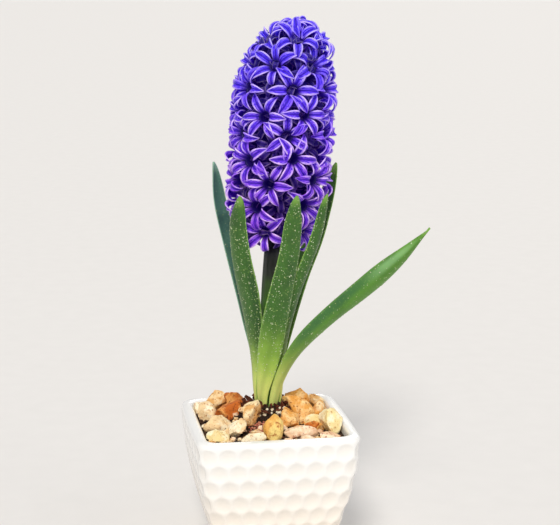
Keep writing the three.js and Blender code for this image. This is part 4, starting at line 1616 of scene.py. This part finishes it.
def stand_flakes(count, draw):
    """Slivers that lean at random round the neck, partly sunk in the soil."""
    copies = []
    for _ in range(count):
        out = towards(draw.uniform(0, 360)) * draw.uniform(*FLAKE_OUT)
        x, y = NECK.x / MM + out.x, NECK.y / MM + out.y
        tall = draw.uniform(*FLAKE_TALL)
        lean = Matrix.Rotation(draw.uniform(-MOST_LEAN, MOST_LEAN), 4, "X")
        lean @= Matrix.Rotation(draw.uniform(-MOST_LEAN, MOST_LEAN), 4, "Y")
        place = Vector((x, y, soil_height(x, y) + tall * FLAKE_LIFT)) * MM
        size = Matrix.Diagonal((tall * FLAKE_WIDTH, tall * FLAKE_WIDTH, tall, 1))
        spin = Matrix.Rotation(draw.uniform(*ANY_TURN), 4, "Z")
        copy = copied(flake_model)
        copy.data.transform(Matrix.Translation(place) @ lean @ spin @ size @ Matrix.Scale(MM, 4))
        copies.append(copy)
    return copies


BARK = grit_finish("bark_flakes", 400.0, "#47200f", "#7c4128", "#1c0a05", 0.85, 0.2)
draw = random.Random(SMALL_THINGS_SEED)
flakes = dress(join(stand_flakes(FLAKES, draw), "bark_flakes"), BARK)
put_away([flake_model])
print("faces in the flakes:", len(flakes.data.polygons))

# %% Strew gravel and pale grains
GRAIN_MODELS, GRAIN_MODEL_SEED, GRAIN_UNEVEN = 3, 60, 0.14
GRAVEL = grit_finish("red_gravel", 500.0, "#a85a45", "#cf9078", "#6e3226", 0.9, 0.2)
PALE = grit_finish("pale_grains", 500.0, "#e2d2b0", "#f8eed8", "#94704e", 0.8, 0.15)
ALONG_THE_FRONT_WALL = within((2, 38), (-38, -34.5), (0.2, 1.6))
BEFORE_THE_NECK = within((-13, 4), (-27, -13), (0.2, 1.2))
FACING_THE_NECK = round_the_neck((-80, 65), (11, 15), (1.2, 2.4))
# Name, finish, and what it is strewn with: how many, where, and their sizes in millimetres.
GRITS = [
    ("red_gravel", GRAVEL, [(150, ALONG_THE_FRONT_WALL, (0.9, 2.2)), (150, BEFORE_THE_NECK, (0.9, 2.4))]),
    ("pale_grains", PALE, [(22, NEAR_THE_NECK, (1.2, 2.4)), (16, FACING_THE_NECK, (1.6, 3.0))]),
]
grain_models = [
    make_crumb(f"grain_{i}", 2, GRAIN_MODEL_SEED + i, GRAIN_UNEVEN) for i in range(GRAIN_MODELS)
]
for name, finish, shares in GRITS:
    grits = []
    for count, spot, sizes in shares:
        grits += strew(grain_models, count, draw, spot, sizes)
    piece = dress(join(grits, name), finish)
    print("faces in", name + ":", len(piece.data.polygons))
put_away(grain_models)

# %% [markdown]
# ## Bulb
#
# The bulb is buried, so no camera sees it, but it is what the plant grows from and it is finished
# like the rest. It could be sculpted, but a bulb grows in rings round its own axis, so its profile
# is spun round that axis. Papery skin with lengthwise ribs covers it.

# %% Spin the bulb
# Distance from the bulb's axis and height, in millimetres.
BULB_SKIN = [(0, 22.2), (6.8, 22.2), (14.8, 25.3), (21.8, 34), (24.2, 45), (21.8, 56), (15.3, 66),
             (10.8, 74), (8.8, 79), (8.7, 83.7), (8.2, 83.7), (8.2, 79), (8.1, 77.1), (0, 77.1)]
BULB_STEPS = 40
MERGE_DISTANCE = 0.01 * MM


def spin_bulb():
    """Spins the bulb's profile round its axis."""
    fresh()
    data = bpy.data.meshes.new("bulb_fine")
    points = [(NECK.x + r * MM, NECK.y, z * MM) for r, z in BULB_SKIN]
    data.from_pydata(points, [(i, i + 1) for i in range(len(points) - 1)], [])
    bulb = bpy.data.objects.new("bulb_fine", data)
    bpy.context.scene.collection.objects.link(bulb)
    bulb.select_set(True)
    bpy.context.view_layer.objects.active = bulb
    bpy.ops.object.mode_set(mode="EDIT")
    bpy.ops.mesh.select_all(action="SELECT")
    centre = (NECK.x, NECK.y, 0)
    bpy.ops.mesh.spin(steps=BULB_STEPS, angle=2 * math.pi, center=centre, axis=(0, 0, 1))
    bpy.ops.mesh.select_all(action="SELECT")
    bpy.ops.mesh.remove_doubles(threshold=MERGE_DISTANCE)
    turn_outwards()
    return bulb


bulb = spin_bulb()
print("faces in the bulb:", len(bulb.data.polygons))

# %% Rib and dress the bulb
RIBS = 17
RIB_DEPTH = 0.25 * MM
RIBS_START, RIBS_END = (24 * MM, 34 * MM), (70 * MM, 78 * MM)


def tunic_finish():
    """Thin papery skin in purple brown, streaked from the plate to the neck."""
    material, tree, shader = new_material("bulb_tunic", Roughness=0.5, Sheen_Weight=0.2)
    lines = fibres(tree, painted(tree, "across"), painted(tree, "along"), 14.0, 0.5)
    patchy = noise(tree, own_place(tree), 60.0, 4.0)
    tones = blend(tree, patchy, "#6e3f52", "#a9788a")
    tones = over(tree, tones, "#4a2a33", lines, 0.45)
    feed(tree, shader, tones, height=lines, depth=0.2 * MM, strength=0.6)
    return material


alongs, acrosses = [], []
for vertex in bulb.data.vertices:
    out = Vector((vertex.co.x - NECK.x, vertex.co.y - NECK.y, 0))
    turn, z = math.atan2(out.y, out.x), vertex.co.z
    ribbed = smoothstep(z, *RIBS_START) * (1 - smoothstep(z, *RIBS_END))
    vertex.co += out.normalized() * RIB_DEPTH * (math.sin(RIBS * turn) - 1) * ribbed
    alongs.append(z / (80 * MM))
    acrosses.append(math.sin(turn * 2))
keep_values(bulb, "along", alongs)
keep_values(bulb, "across", acrosses)
smooth(bulb)
dress(bulb, tunic_finish(), ["bulb"])
print("ribs on the bulb:", RIBS)

# %% [markdown]
# ## Studio
#
# The plant stands on a plain pale floor that reaches far back, so no edge of it shows. Area lamps
# would leave the distance dark and draw rings on the floor. Wide, soft suns light near and far
# alike: the main one from the upper left models the petals, a weak one fills from the right, and
# one from behind draws the edges. A pale surround fills the shadows, and where it is seen above
# the floor's far edge it has the floor's own tone.

# %% Lay the floor
FLOOR_HALF = 40.0


def lay_floor():
    fresh()
    bpy.ops.mesh.primitive_plane_add(size=2 * FLOOR_HALF)
    floor = named("floor")
    material, tree, shader = new_material("floor_paper", Roughness=0.8, Specular_IOR_Level=0.2)
    grain = noise(tree, own_place(tree), 60.0, 4.0)
    feed(tree, shader, blend(tree, grain, "#dfdcd8", "#e4e1dd"))
    floor.data.materials.append(material)
    return floor


floor = lay_floor()
print("the floor's side in metres:", round(floor.dimensions.x))

# %% Hang the lamps
def hang_lamp(name, kind, place, power, tint, **settings):
    """A lamp that faces the middle of the plant."""
    data = bpy.data.lights.new(name, kind)
    data.energy = power
    data.color = tint
    for key, value in settings.items():
        setattr(data, key, value)
    lamp = bpy.data.objects.new(name, data)
    lamp.location = place
    lamp.rotation_mode = "QUATERNION"
    lamp.rotation_quaternion = (Vector(place) - AIM).to_track_quat("Z", "Y")
    bpy.context.scene.collection.objects.link(lamp)
    return lamp


def light_the_room():
    world = bpy.data.worlds.new("studio")
    world.use_nodes = True
    tree = world.node_tree
    glow = {"Color": (0.93, 0.95, 1, 1), "Strength": 0.5}
    surround = add_node(tree, "ShaderNodeBackground", glow).outputs[0]
    wall = add_node(tree, "ShaderNodeBackground", {"Color": (0.832, 0.807, 0.774, 1)}).outputs[0]
    seen = add_node(tree, "ShaderNodeLightPath").outputs["Is Camera Ray"]
    both = add_node(tree, "ShaderNodeMixShader", {0: seen, 1: surround, 2: wall}).outputs[0]
    tree.links.new(both, tree.nodes["World Output"].inputs["Surface"])
    bpy.context.scene.world = world
    warm, cool = (1, 0.97, 0.92), (0.93, 0.96, 1)
    return [
        hang_lamp("main_sun", "SUN", (-0.4, -1.15, 1.35), 2.2, warm, angle=math.radians(16)),
        hang_lamp("fill_sun", "SUN", (1.2, -0.9, 0.7), 0.45, cool, angle=math.radians(50)),
        hang_lamp("edge_sun", "SUN", (0.5, 1.2, 1.0), 0.7, warm, angle=math.radians(30)),
    ]


lamps = light_the_room()
print("lamps:", [lamp.name for lamp in lamps])
